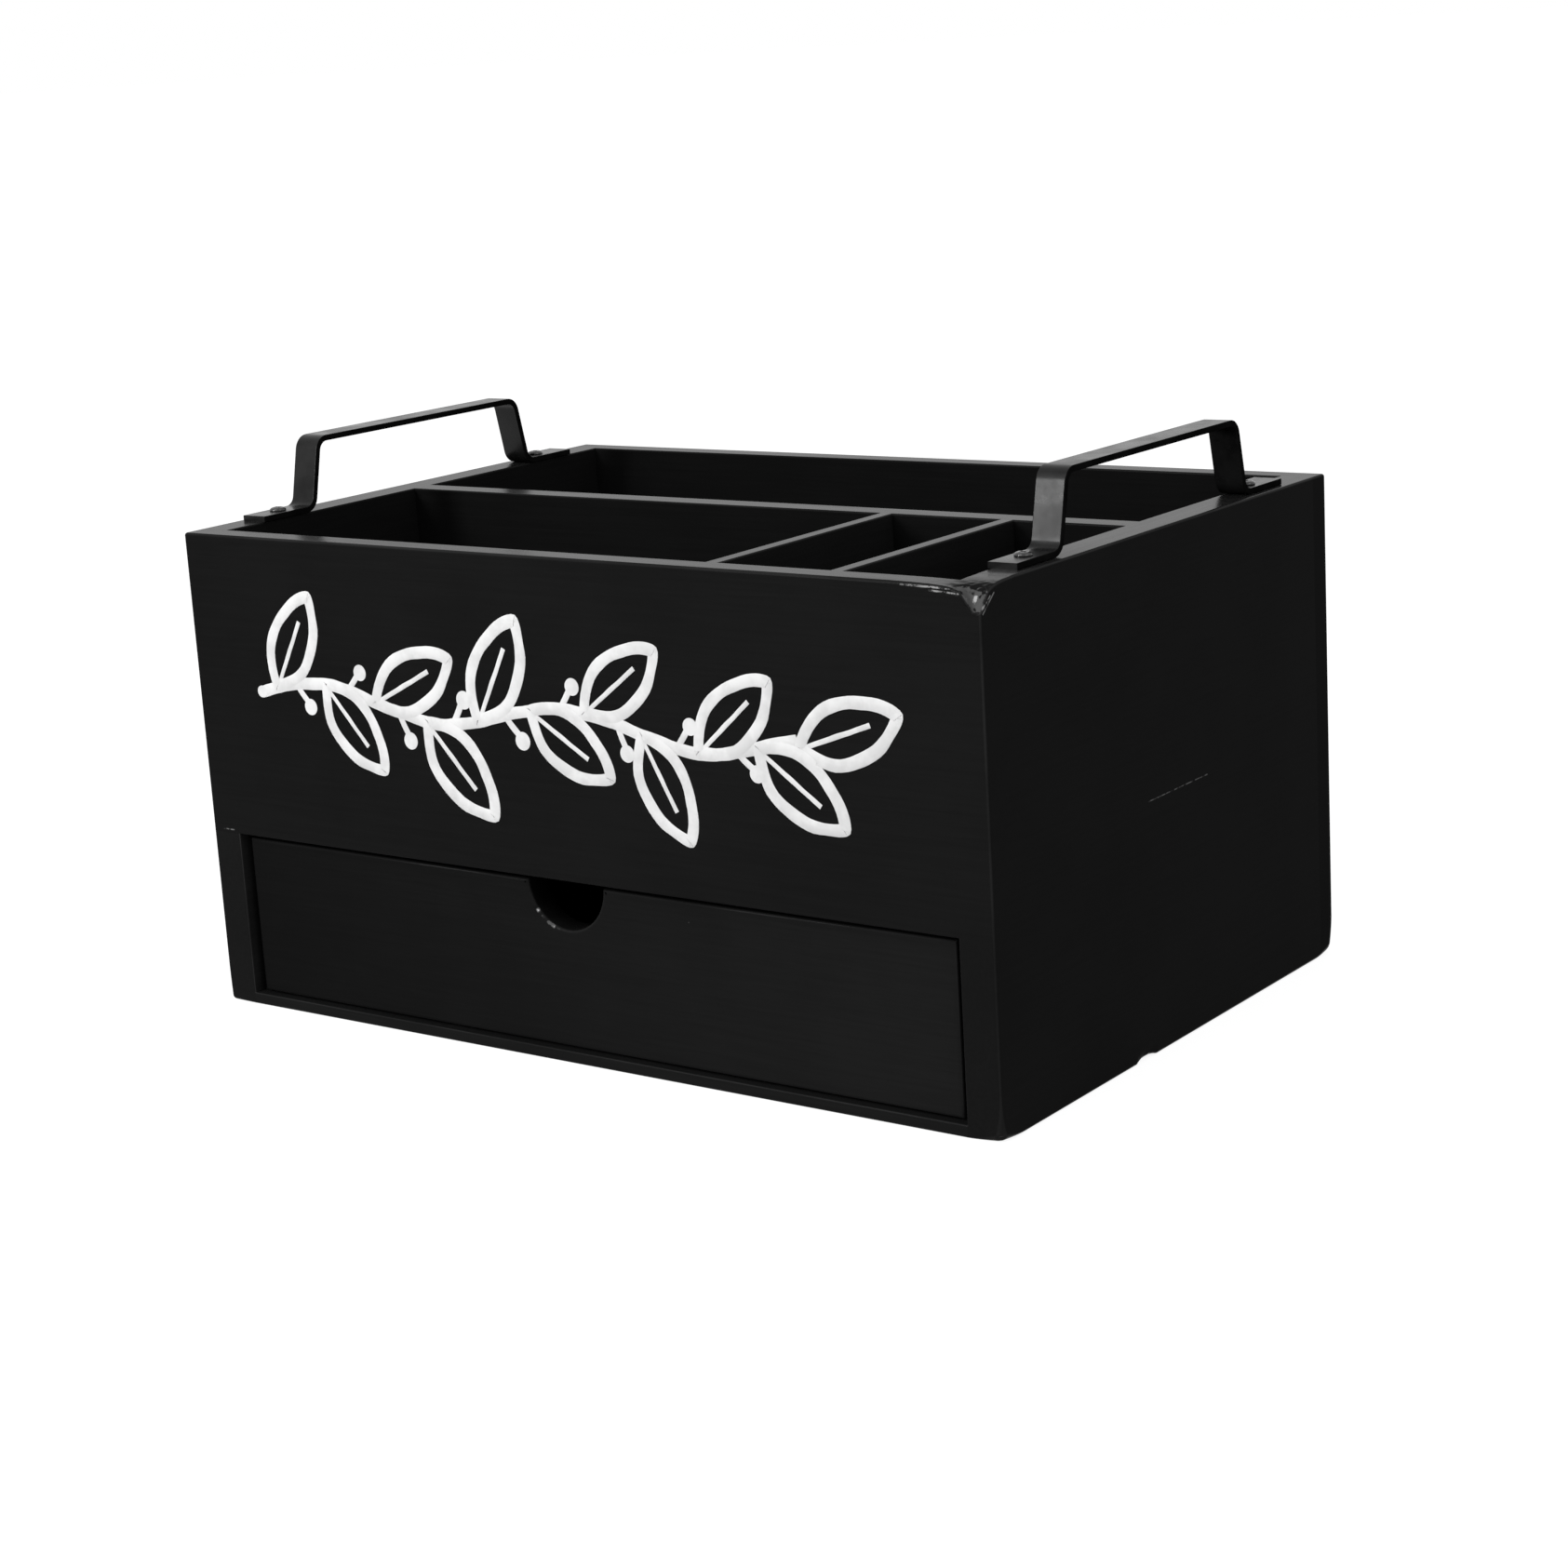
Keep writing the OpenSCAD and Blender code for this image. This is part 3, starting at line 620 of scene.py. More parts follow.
def grid_shell(xs, ys, zs, solid):
    """Vertices and outward quads round the cells whose middles are solid."""
    middle = [(g[:-1] + g[1:]) / 2 for g in (xs, ys, zs)]
    filled = solid(*np.meshgrid(*middle, indexing="ij"))
    padded = np.pad(filled, 1)
    numbers, points, quads = {}, [], []

    def corner(place):
        if place not in numbers:
            numbers[place] = len(points)
            points.append((xs[place[0]], ys[place[1]], zs[place[2]]))
        return numbers[place]

    for axis in range(3):
        b, c = (axis + 1) % 3, (axis + 2) % 3
        for side in (0, 1):
            beyond = np.roll(padded, 1 if side == 0 else -1, axis=axis)[1:-1, 1:-1, 1:-1]
            for cell in np.argwhere(filled & ~beyond):
                ring = []
                for db, dc in ((0, 0), (1, 0), (1, 1), (0, 1)):
                    place = [int(v) for v in cell]
                    place[axis] += side
                    place[b] += db
                    place[c] += dc
                    ring.append(corner(tuple(place)))
                quads.append(ring if side else ring[::-1])
    return np.array(points), quads


def finish_mesh(name, points, quads, material, marks=None, sharp=38.0):
    """A smooth-shaded object with sharp edges kept, and soft masks stored on its vertices."""
    mesh = bpy.data.meshes.new(name)
    mesh.from_pydata([tuple(p) for p in points], [], quads)
    none = np.zeros(len(points))
    for label, values in {"chip_and_sheen": none, "edge": none, "shade": none, **(marks or {})}.items():
        layer = mesh.attributes.new(label, "FLOAT", "POINT")
        layer.data.foreach_set("value", np.asarray(values, np.float32))
    mesh.materials.append(material)
    work = bmesh.new()
    work.from_mesh(mesh)
    for face in work.faces:
        face.smooth = True
    for edge in work.edges:
        edge.smooth = len(edge.link_faces) == 2 and edge.calc_face_angle(0) < math.radians(sharp)
    work.to_mesh(mesh)
    work.free()
    made = bpy.data.objects.new(name, mesh)
    bpy.context.scene.collection.objects.link(made)
    print(name, "has", len(mesh.polygons), "faces")
    return made


print("shell helpers ready")

# %% [markdown]
# ## The crushed corner
# The front top right corner took a knock: the rim slumps towards the corner, the lip along the front is
# ragged, and pale fibres show where the paint broke. The grey on the slumped top is partly broken paint and
# partly a painted sheen. The slump is a drop of the rim that grows towards the corner. The faces below it are
# squeezed by the same drop, so nothing opens between the two boards.
# Cutting a wedge off with a Boolean would be quicker, but it leaves a flat cut with hard sides.

# %% The slump and its ragged lip
CORNER = np.array([BLOCK_HIGH[0], FRONT, BOX_H])
SLUMP_ZONE = 0.013
DENSE_X = (CORNER[0] - 0.030, CORNER[0], 0.0006)
DENSE_Y = (CORNER[1], CORNER[1] + 0.018, 0.0006)
DENSE_Z = (CORNER[2] - 0.013, CORNER[2], 0.0006)


def rough(points, size, seed):
    """A smooth random number from -1 to 1 for each point, with features of the given size."""
    shift = Vector((seed * 3.7, seed * 1.3, seed * 2.1))
    return np.array([noise.noise(Vector(p) / size + shift) for p in points])


def slump_drop(points):
    """How far the rim has dropped over each point, and the distances from the two faces in mm."""
    u = (CORNER[0] - points[:, 0]) / MM
    v = np.maximum((points[:, 1] - CORNER[1]) / MM, 0.0)
    knock = 6.9 / (1 + (u / 5.0) ** 4 + (v / 3.1) ** 2.5)
    dub = 1.0 * np.exp(-((u / 15.0) ** 2) - (v / 8.0) ** 2)
    flat = np.stack([points[:, 0], points[:, 1], np.full(len(points), BOX_H)], axis=1)
    uneven = 1 + 0.14 * rough(flat, 0.0016, 1) + 0.10 * rough(flat, 0.004, 2)
    return (knock + dub) * uneven * MM, u, v


def crush(points):
    """Move the points by the slump, and return them with a soft mask of broken paint, which on the slumped top also
    greys the rim as a painted sheen.
    """
    moved, chip_and_sheen = points.copy(), np.zeros(len(points))
    near = (points[:, 0] > DENSE_X[0]) & (points[:, 1] < DENSE_Y[1]) & (points[:, 2] > BOX_H - SLUMP_ZONE)
    if not near.any():
        return moved, chip_and_sheen
    some = points[near]
    drop, u, v = slump_drop(some)
    below = BOX_H - some[:, 2]
    share = np.clip(1 - below / SLUMP_ZONE, 0, 1)
    lowered = some.copy()
    lowered[:, 2] -= drop * share
    lip = np.exp(-((v / 1.5) ** 2)) * np.exp(-((below / MM / 2.2) ** 2)) * np.clip((25 - u) / 7, 0, 1)
    bite = np.clip(rough(some, 0.0011, 3) * 1.2 + 0.25, 0, 1)
    lowered[:, 1] += np.where(v < 2.5, 0.00042 * lip * bite, 0.0)
    shallow = np.clip(1 - below / MM / 1.3, 0, 1)
    # The facet greys the slumped top of the rim: partly broken paint, partly a painted sheen of the tilted rim.
    facet_sheen_and_break = np.clip((drop / MM - 0.4) / 0.8, 0, 1) * shallow * np.exp(-((v / 8.0) ** 4))
    spot = np.exp(-(((u - 3.3) / 0.7) ** 2) - ((v - 2.8) / 1.0) ** 2) * shallow
    moved[near] = lowered
    chip_and_sheen[near] = np.clip((0.68 + 0.24 * rough(some, 0.0013, 5)) * facet_sheen_and_break + 0.34 * spot, 0, 1)
    return moved, chip_and_sheen


print("crushed corner within", [round((d[1] - d[0]) / MM, 1) for d in (DENSE_X, DENSE_Y, DENSE_Z)], "mm")

# %% [markdown]
# ## The nick under the right end
# A small bite is missing from the bottom edge of the right end, where the box was set down hard. It is
# the same idea as the slump, turned over: the lowest points near it are pushed up and in.

# %% The nick
NICK_Y, NICK_HALF, NICK_RISE = -0.0215, 0.0062, 0.0011
DENSE_NICK_Y = (NICK_Y - 0.008, NICK_Y + 0.008, 0.0006)
DENSE_NICK_Z = (0.0, 0.005, 0.0006)


def nick(points, chip_and_sheen):
    """Push up the bottom edge of the right end along a short bite."""
    shape = np.clip(1 - np.abs((points[:, 1] - NICK_Y) / NICK_HALF) ** 2.5, 0, 1)
    edge = np.clip(1 - (BLOCK_HIGH[0] - points[:, 0]) / 0.004, 0, 1)
    low_part = np.clip(1 - points[:, 2] / 0.004, 0, 1)
    push = shape * edge * low_part
    moved = points.copy()
    moved[:, 2] += NICK_RISE * push * (1 + 0.25 * rough(points, 0.002, 4))
    moved[:, 0] -= 0.0005 * push
    return moved, np.maximum(chip_and_sheen, 0.35 * push)


print("nick at y =", NICK_Y / MM, "mm")

# %% Make the outer boards


def make_board(name, solid, material, dense=((), (), ()), bitten=False):
    """One board of the block, from the box of its CAD node, on the shared cuts."""
    start, end = (np.array(v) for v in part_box(name))
    start[1] = max(start[1], FRONT)
    grids = [grid_of(c, a, b, d) for c, a, b, d in zip((CUTS_X, CUTS_Y, CUTS_Z), start, end, dense)]
    sharp, quads = grid_shell(*grids, solid)
    eased = ease_all(sharp)
    points, chip_and_sheen = crush(eased)
    if bitten:
        points, chip_and_sheen = nick(points, chip_and_sheen)
    # The edge mask is a painted highlight on the rounded edges and painted light on the walls of the drawer opening;
    # the shade mask is painted shade on the sill.
    edge = np.maximum(edge_mask(sharp, eased), mouth_painted_light(sharp))
    marks = {"chip_and_sheen": chip_and_sheen, "edge": edge, "shade": mouth_shade(sharp)}
    return finish_mesh(name + "_shell", points, quads, material, marks)


def whole(x, y, z):
    """A plain board: every cell is solid."""
    return np.ones(x.shape, bool)


def behind_panel(x, y, z):
    """An end panel: a rebate over the drawer opening takes the front panel."""
    return (y > inner_y[0]) | (z < MOUTH[3])


front_cuts = ((DENSE_X,), (DENSE_Y,), (DENSE_Z,))
right_cuts = ((DENSE_X,), (DENSE_Y, DENSE_NICK_Y), (DENSE_Z, DENSE_NICK_Z))
front_board = make_board("front_panel", whole, paint_front, front_cuts)
right_board = make_board("right_end_panel", behind_panel, paint_right_end, right_cuts, bitten=True)
left_board = make_board("left_end_panel", behind_panel, paint_long_y)
back_board = make_board("back_panel", whole, paint_inner_x_painted_shade)
bottom_board = make_board("base_board", whole, paint_long_x_painted_light)

# %% [markdown]
# ## Dividers and bin floor
# The long divider runs from end to end, and two thin cross dividers split the front half. Their top edges
# are flush with the rim and eased with it. The bin floor closes them from below.

# %% Make the inner boards
long_board = make_board("long_divider", whole, paint_inner_x_painted_shade)
left_cross_board = make_board("left_cross_divider", whole, paint_inner_y_painted_light)
right_cross_board = make_board("right_cross_divider", whole, paint_inner_y_painted_light)
floor_board = make_board("bin_floor", whole, paint_inner_x_painted_shade)

# %% [markdown]
# ## The drawer front
# A flat board with a half-round finger notch in its top edge, eased all round at the front. It is
# made as rings that follow its outline: each ring is inset and set back a little, so the rounding goes
# round the notch as well. The rim of the notch is chipped where fingers and nails catch it.
# The wall of the notch is darkened as painted shade, and the eased front edge is lightened as a painted highlight.

# %% The outline of the drawer front
front_low, front_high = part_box("drawer_front")
NOTCH_X, NOTCH_R = -0.0035, 0.015
NOTCH_STEPS = 72
FRONT_EASE = 0.001


def front_outline():
    """Outline of the drawer front in x and z, anticlockwise as seen from the front."""
    arc = [-math.pi * i / NOTCH_STEPS for i in range(NOTCH_STEPS + 1)]
    points = [(front_low.x, front_low.z), (front_high.x, front_low.z), (front_high.x, front_high.z)]
    points += [(NOTCH_X + NOTCH_R * math.cos(a), front_high.z + NOTCH_R * math.sin(a)) for a in arc]
    points += [(front_low.x, front_high.z)]
    return np.array(points)


def inset_of(outline):
    """For each point, the step that moves both its edges inwards by one."""
    before, after = np.roll(outline, 1, axis=0), np.roll(outline, -1, axis=0)
    first = outline - before
    second = after - outline
    n1 = np.stack([-first[:, 1], first[:, 0]], axis=1) / np.linalg.norm(first, axis=1)[:, None]
    n2 = np.stack([-second[:, 1], second[:, 0]], axis=1) / np.linalg.norm(second, axis=1)[:, None]
    total = n1 + n2
    return total / (np.sum(total * n1, axis=1))[:, None]


outline = front_outline()
inset = inset_of(outline)
print("drawer front outline:", len(outline), "points")

# %% Rings of the drawer front
RING_TURNS = 5
BACK_EASE = 0.0004


def front_rings():
    """Inset and depth of each ring, from the middle of the front face to the middle of the back face."""
    rings = [(FRONT_EASE + 0.0006, 0.0)]
    for i in range(RING_TURNS + 1):
        turn = math.pi / 2 * i / RING_TURNS
        rings.append((FRONT_EASE * (1 - math.sin(turn)), FRONT_EASE * (1 - math.cos(turn))))
    thick = front_high.y - front_low.y
    rings += [(0.0, thick - BACK_EASE), (BACK_EASE, thick), (BACK_EASE + 0.0006, thick)]
    return rings


def notch_bites(angle):
    """How strongly the rim is chipped at each angle round the notch, in degrees from its right end."""
    bites = [(163, 2.0, 0.4), (141, 3.0, 1.0), (133, 3.5, 0.55), (121, 5.0, 0.7), (113, 4.0, 0.8), (104, 3.0, 0.35)]
    return sum(strong * np.exp(-(((angle - at) / wide) ** 2)) for at, wide, strong in bites)


points, chip_and_sheen, edge, shade = [], [], [], []
on_arc = np.array([3 <= i < 4 + NOTCH_STEPS for i in range(len(outline))])
angles = np.degrees(np.arctan2(front_high.z - outline[:, 1], outline[:, 0] - NOTCH_X))
bites = np.where(on_arc, notch_bites(angles), 0.0)
for inward, deep in front_rings():
    ring = outline + inset * inward
    near_edge = math.exp(-((deep / 0.0009) ** 2)) * math.exp(-((max(inward - 0.0005, 0) / 0.0009) ** 2))
    ring = ring + inset * (bites * 0.00045 * near_edge)[:, None]
    depths = front_low.y + deep + bites * 0.0004 * near_edge
    points += [(x, y, z) for (x, z), y in zip(ring, depths)]
    chip_and_sheen += list(1.15 * bites * near_edge)
    # The edge mask puts a painted highlight on the eased front edge; the shade mask puts painted shade on the wall of
    # the notch, darker with depth.
    middle_of_edge = math.sin(math.pi * min(deep, FRONT_EASE) / FRONT_EASE) if inward < FRONT_EASE else 0.0
    edge += [middle_of_edge] * len(outline)
    shade += list(on_arc * (0.0 if deep < 0.0004 else min(1.0, 0.45 + deep / 0.009)))
print("drawer front:", len(points), "points in", len(front_rings()), "rings")

# %% Close the drawer front
count = len(outline)
quads = [list(range(count))]
for level in range(len(front_rings()) - 1):
    for i in range(count):
        j = (i + 1) % count
        a, b = level * count, (level + 1) * count
        quads.append([a + j, a + i, b + i, b + j])
last = (len(front_rings()) - 1) * count
quads.append([last + i for i in reversed(range(count))])
drawer_front_board = finish_mesh("drawer_front_board", points, quads, paint_drawer_light_and_shade,
                                 {"chip_and_sheen": chip_and_sheen, "edge": edge, "shade": shade})

# %% [markdown]
# ## The drawer's box
# Two sides, a back and a thin bottom that sits in grooves. They are sawn boards with lightly broken
# edges, so each is a shell with its own small rounding. They show when the drawer is pulled out.

# %% Drawer boards
DRAWER_R = 0.0005


def ease_own(points, start, end, radius):
    """Round all edges of one board."""
    core = np.clip(points, start + radius, end - radius)
    away = points - core
    reach = np.linalg.norm(away, axis=1, keepdims=True)
    return np.where(reach > radius, core + away / np.maximum(reach, 1e-9) * radius, points)


def loose_board(name, material, radius=DRAWER_R):
    """A board with all its edges broken."""
    start, end = (np.array(v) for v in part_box(name))
    grids = []
    for a, b in zip(start, end):
        steps = cut_steps(radius, 2)
        grids.append(grid_of({a + s for s in steps} | {b - s for s in steps}, a, b))
    points, quads = grid_shell(*grids, whole)
    return finish_mesh(name + "_shell", ease_own(points, start, end, radius), quads, material)


side_names = ("drawer_left_side", "drawer_right_side")
drawer_boards = {name: loose_board(name, paint_long_y) for name in side_names}
drawer_boards["drawer_back"] = loose_board("drawer_back", paint_long_x_painted_light)
drawer_boards["drawer_bottom"] = loose_board("drawer_bottom", paint_long_x_painted_light, 0.0002)

# %% [markdown]
# ## Geometry Nodes helpers
# A strap bent round corners, screws set at points and leaves along a stem all follow rules, so Geometry
# Nodes make them. A tree gets named inputs, is run once on a base object, and its result is kept as a
# plain mesh.

# %% Build and run a tree


def new_tree(name, inputs):
    """A geometry tree with named inputs; returns the tree, its inputs and a place to plug the result."""
    tree = bpy.data.node_groups.new(name, "GeometryNodeTree")
    tree.interface.new_socket("Geometry", in_out="INPUT", socket_type="NodeSocketGeometry")
    for label, kind in inputs:
        tree.interface.new_socket(label, in_out="INPUT", socket_type="NodeSocket" + kind)
    tree.interface.new_socket("Geometry", in_out="OUTPUT", socket_type="NodeSocketGeometry")
    return tree, add(tree, "NodeGroupInput").outputs, add(tree, "NodeGroupOutput").inputs[0]


def close_tree(tree, shape, material, result):
    """End the tree in Realize Instances and Set Material."""
    real = add(tree, "GeometryNodeRealizeInstances", {"Geometry": shape}).outputs[0]
    smooth = add(tree, "GeometryNodeSetShadeSmooth", {"Geometry": real, "Shade Smooth": False}).outputs[0]
    painted = add(tree, "GeometryNodeSetMaterial", {"Geometry": smooth, "Material": material}).outputs[0]
    tree.links.new(painted, result)


def base_object(name, points, edges=()):
    """A base for a tree: points, and edges where a path is needed."""
    mesh = bpy.data.meshes.new(name)
    mesh.from_pydata([tuple(p) for p in points], list(edges), [])
    made = bpy.data.objects.new(name, mesh)
    bpy.context.scene.collection.objects.link(made)
    return made


def grow(base, tree, values, sharp=38.0):
    """Run the tree on the base, and turn the base into the plain mesh that comes out."""
    step = base.modifiers.new("grow", "NODES")
    step.node_group = tree
    for item in tree.interface.items_tree:
        if item.in_out == "INPUT" and item.name in values:
            step[item.identifier] = values[item.name]
    graph = bpy.context.evaluated_depsgraph_get()
    mesh = bpy.data.meshes.new_from_object(base.evaluated_get(graph), depsgraph=graph)
    base.modifiers.remove(step)
    base.data = mesh
    work = bmesh.new()
    work.from_mesh(mesh)
    bmesh.ops.remove_doubles(work, verts=work.verts, dist=1e-7)
    bmesh.ops.recalc_face_normals(work, faces=work.faces)
    for face in work.faces:
        face.smooth = True
    for edge in work.edges:
        edge.smooth = len(edge.link_faces) == 2 and edge.calc_face_angle(0) < math.radians(sharp)
    work.to_mesh(mesh)
    work.free()
    print(base.name, "has", len(mesh.polygons), "faces")
    return base


print("tree helpers ready")

# %% [markdown]
# ## The handles
# Each handle is one flat strap, bent four times, with its feet turned outwards. The path is a line of six
# points; the tree rounds its corners by the bend radius and sweeps a strap section with broken edges.

# %% The strap tree
strap_inputs = [("Strap Width", "Float"), ("Strap Thickness", "Float"), ("Bend Radius", "Float")]
strap_inputs += [("Edge Radius", "Float"), ("Finish", "Material")]
strap_tree, given, result = new_tree("bent_strap", strap_inputs)
path = add(strap_tree, "GeometryNodeMeshToCurve", {"Mesh": given["Geometry"]}).outputs[0]
bend = {"Curve": path, "Count": 10, "Radius": given["Bend Radius"], "Limit Radius": True}
bent = add(strap_tree, "GeometryNodeFilletCurve", bend, mode="POLY").outputs[0]
upright = add(strap_tree, "GeometryNodeSetCurveNormal", {"Curve": bent}, mode="Z_UP").outputs[0]
sides = {"Width": given["Strap Width"], "Height": given["Strap Thickness"]}
flat = add(strap_tree, "GeometryNodeCurvePrimitiveQuadrilateral", sides, mode="RECTANGLE").outputs[0]
broken = {"Curve": flat, "Count": 3, "Radius": given["Edge Radius"], "Limit Radius": True}
section = add(strap_tree, "GeometryNodeFilletCurve", broken, mode="POLY").outputs[0]
sweep = {"Curve": upright, "Profile Curve": section, "Fill Caps": True}
strap = add(strap_tree, "GeometryNodeCurveToMesh", sweep).outputs[0]
close_tree(strap_tree, strap, given["Finish"], result)
print("tree:", strap_tree.name)

# %% Bend both straps
STRAP_T, BEND_R = 0.002, 0.0035
FOOT_SPAN, TOP_SPAN, GUARD = 0.112, 0.102, 0.0048
STRAP_VALUES = {"Strap Width": STRAP_W, "Strap Thickness": STRAP_T, "Edge Radius": 0.00030}
STRAP_VALUES |= {"Bend Radius": BEND_R + STRAP_T / 2, "Finish": handle_steel}


def strap_path(node):
    """The strap's middle line from the box of its CAD node, with guard points beside each bend."""
    start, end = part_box(node)
    foot, top = start.z + STRAP_T / 2, end.z - STRAP_T / 2
    half = [(start.y, foot), (-FOOT_SPAN / 2, foot), (-TOP_SPAN / 2, top)]
    other = [(TOP_SPAN / 2, top), (FOOT_SPAN / 2, foot), (end.y, foot)]
    corners = [Vector(((start.x + end.x) / 2, y, z)) for y, z in half + other]
    path = corners[:1]
    for before, corner, after in zip(corners[:-2], corners[1:-1], corners[2:]):
        path += [corner + (side - corner).normalized() * GUARD for side in (before,)]
        path += [corner, corner + (after - corner).normalized() * GUARD]
    return path + corners[-1:]


handles = {}
for node in ("left_handle", "right_handle"):
    path_points = strap_path(node)
    base = base_object(node + "_strap", path_points, [(i, i + 1) for i in range(len(path_points) - 1)])
    handles[node] = grow(base, strap_tree, STRAP_VALUES, sharp=12.0)
    sizes = [(max(c) - min(c)) / MM for c in zip(*[v.co for v in handles[node].data.vertices])]
    print(node, "measures", [round(s, 2) for s in sizes], "mm")

# %% [markdown]
# ## The screws
# Small pan-head wood screws with a cross recess hold the feet. The head is turned as rings from the
# recess outwards; a tree then sets one at each screw's place, turned by a random angle, as a
# screwdriver leaves them.

# %% One screw head
HEAD_R, HEAD_H = 0.0028, 0.0012
CROSS_ARM, CROSS_HALF, CROSS_DEEP = 0.0016, 0.00042, 0.0008


def cross_outline(arm, half):
    """The twelve corners of a cross."""
    quarter = [(arm, -half), (arm, half), (half, half)]
    found = []
    for turn in range(4):
        c, s = math.cos(turn * math.pi / 2), math.sin(turn * math.pi / 2)
        found += [(x * c - y * s, x * s + y * c) for x, y in quarter]
    return found


def ring_at(work, radius, height, steps=28):
    """A ring of vertices round the screw's axis."""
    turns = [2 * math.pi * i / steps for i in range(steps)]
    return [work.verts.new((radius * math.cos(a), radius * math.sin(a), height)) for a in turns]


def join_rings(work, lower, upper):
    """Quads between two rings with the same count."""
    for i in range(len(lower)):
        j = (i + 1) % len(lower)
        work.faces.new([lower[i], lower[j], upper[j], upper[i]])


def close_loops(work, loops):
    """Fill the flat area bounded by loops of vertices."""
    edges = []
    for loop in loops:
        for i, vert in enumerate(loop):
            other = loop[(i + 1) % len(loop)]
            edges.append(work.edges.get([vert, other]) or work.edges.new([vert, other]))
    bmesh.ops.triangle_fill(work, edges=edges, use_beauty=True)


work = bmesh.new()
dome = [(HEAD_R * 0.86, -0.0004), (HEAD_R * 0.97, 0.0), (HEAD_R, 0.00022), (HEAD_R * 0.985, 0.00048)]
dome += [(HEAD_R * 0.93, 0.00076), (HEAD_R * 0.82, 0.00100), (HEAD_R * 0.64, HEAD_H)]
rings = [ring_at(work, radius, height) for radius, height in dome]
for lower, upper in zip(rings[:-1], rings[1:]):
    join_rings(work, lower, upper)
mouth = [work.verts.new((x, y, HEAD_H)) for x, y in cross_outline(CROSS_ARM, CROSS_HALF)]
pit = [work.verts.new((x, y, HEAD_H - CROSS_DEEP)) for x, y in cross_outline(CROSS_ARM * 0.6, CROSS_HALF * 0.6)]
close_loops(work, [rings[-1], mouth])
join_rings(work, mouth, pit)
close_loops(work, [pit])
close_loops(work, [rings[0]])
bmesh.ops.recalc_face_normals(work, faces=work.faces)
head_mesh = bpy.data.meshes.new("screw_head")
work.to_mesh(head_mesh)
work.free()
screw_head = bpy.data.objects.new("screw_head", head_mesh)
bpy.context.scene.collection.objects.link(screw_head)
print("screw head:", len(head_mesh.polygons), "faces")

# %% Set the screws
screw_inputs = [("Head", "Object"), ("Seed", "Int"), ("Finish", "Material")]
screw_tree, given, result = new_tree("screws_in_holes", screw_inputs)
head = add(screw_tree, "GeometryNodeObjectInfo", {"Object": given["Head"]}).outputs["Geometry"]
turns = add(screw_tree, "FunctionNodeRandomValue", {2: 0.2, 3: 1.4, "Seed": given["Seed"]}, data_type="FLOAT")
angle = add(screw_tree, "ShaderNodeCombineXYZ", {"Z": turns.outputs[1]}).outputs[0]
seats = {"Points": given["Geometry"], "Instance": head, "Rotation": angle}
screws = add(screw_tree, "GeometryNodeInstanceOnPoints", seats).outputs[0]
close_tree(screw_tree, screws, given["Finish"], result)


def screw_seats(node):
    """The middles of both screws on a handle, at the height of the strap's upper face."""
    start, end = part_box(node)
    x = (start.x + end.x) / 2
    return [(x, start.y + HEAD_R, end.z - HEAD_H), (x, end.y - HEAD_R, end.z - HEAD_H)]


screw_sets = {}
for seed, node in enumerate(("left_handle_screws", "right_handle_screws")):
    base = base_object(node + "_heads", screw_seats(node))
    screw_sets[node] = grow(base, screw_tree, {"Head": screw_head, "Seed": seed + 3, "Finish": screw_black})
bpy.data.objects.remove(screw_head)

# %% [markdown]
# ## The painted sprig
# The front carries a hand-painted ornament in white: a waving stem with pointed, outlined leaves on both
# sides, each with a mid vein, and small round berries between them. It is a raised film, a tenth of a millimetre thick, lying
# on the board. The tree draws a stem, copies a leaf along it on alternate sides, each a little different
# in size and angle, and sets berries between them. It is drawn flat and then stood up on the front.

# %% Strokes for the sprig tree
sprig_inputs = [("Stem Length", "Float"), ("Wave Height", "Float"), ("Leaf Count", "Int"), ("Leaf Length", "Float")]
sprig_inputs += [("Leaf Width", "Float"), ("Leaf Angle", "Float"), ("Stroke", "Float"), ("Film", "Float")]
sprig_inputs += [("Berry Radius", "Float"), ("Berry Stalk", "Float"), ("Seed", "Int"), ("Finish", "Material")]
sprig_tree, given, result = new_tree("painted_sprig", sprig_inputs)


def brush_section(tree, width, film, share):
    """The flat section of a brush stroke; share makes its film less or more thick than the others."""
    high = math_node(tree, "MULTIPLY", film, 2.0 * share)
    sides = {"Width": width, "Height": high}
    flat = add(tree, "GeometryNodeCurvePrimitiveQuadrilateral", sides, mode="RECTANGLE").outputs[0]
    soft = {"Curve": flat, "Count": 2, "Radius": math_node(tree, "MULTIPLY", high, 0.4), "Limit Radius": True}
    return add(tree, "GeometryNodeFilletCurve", soft, mode="POLY").outputs[0]


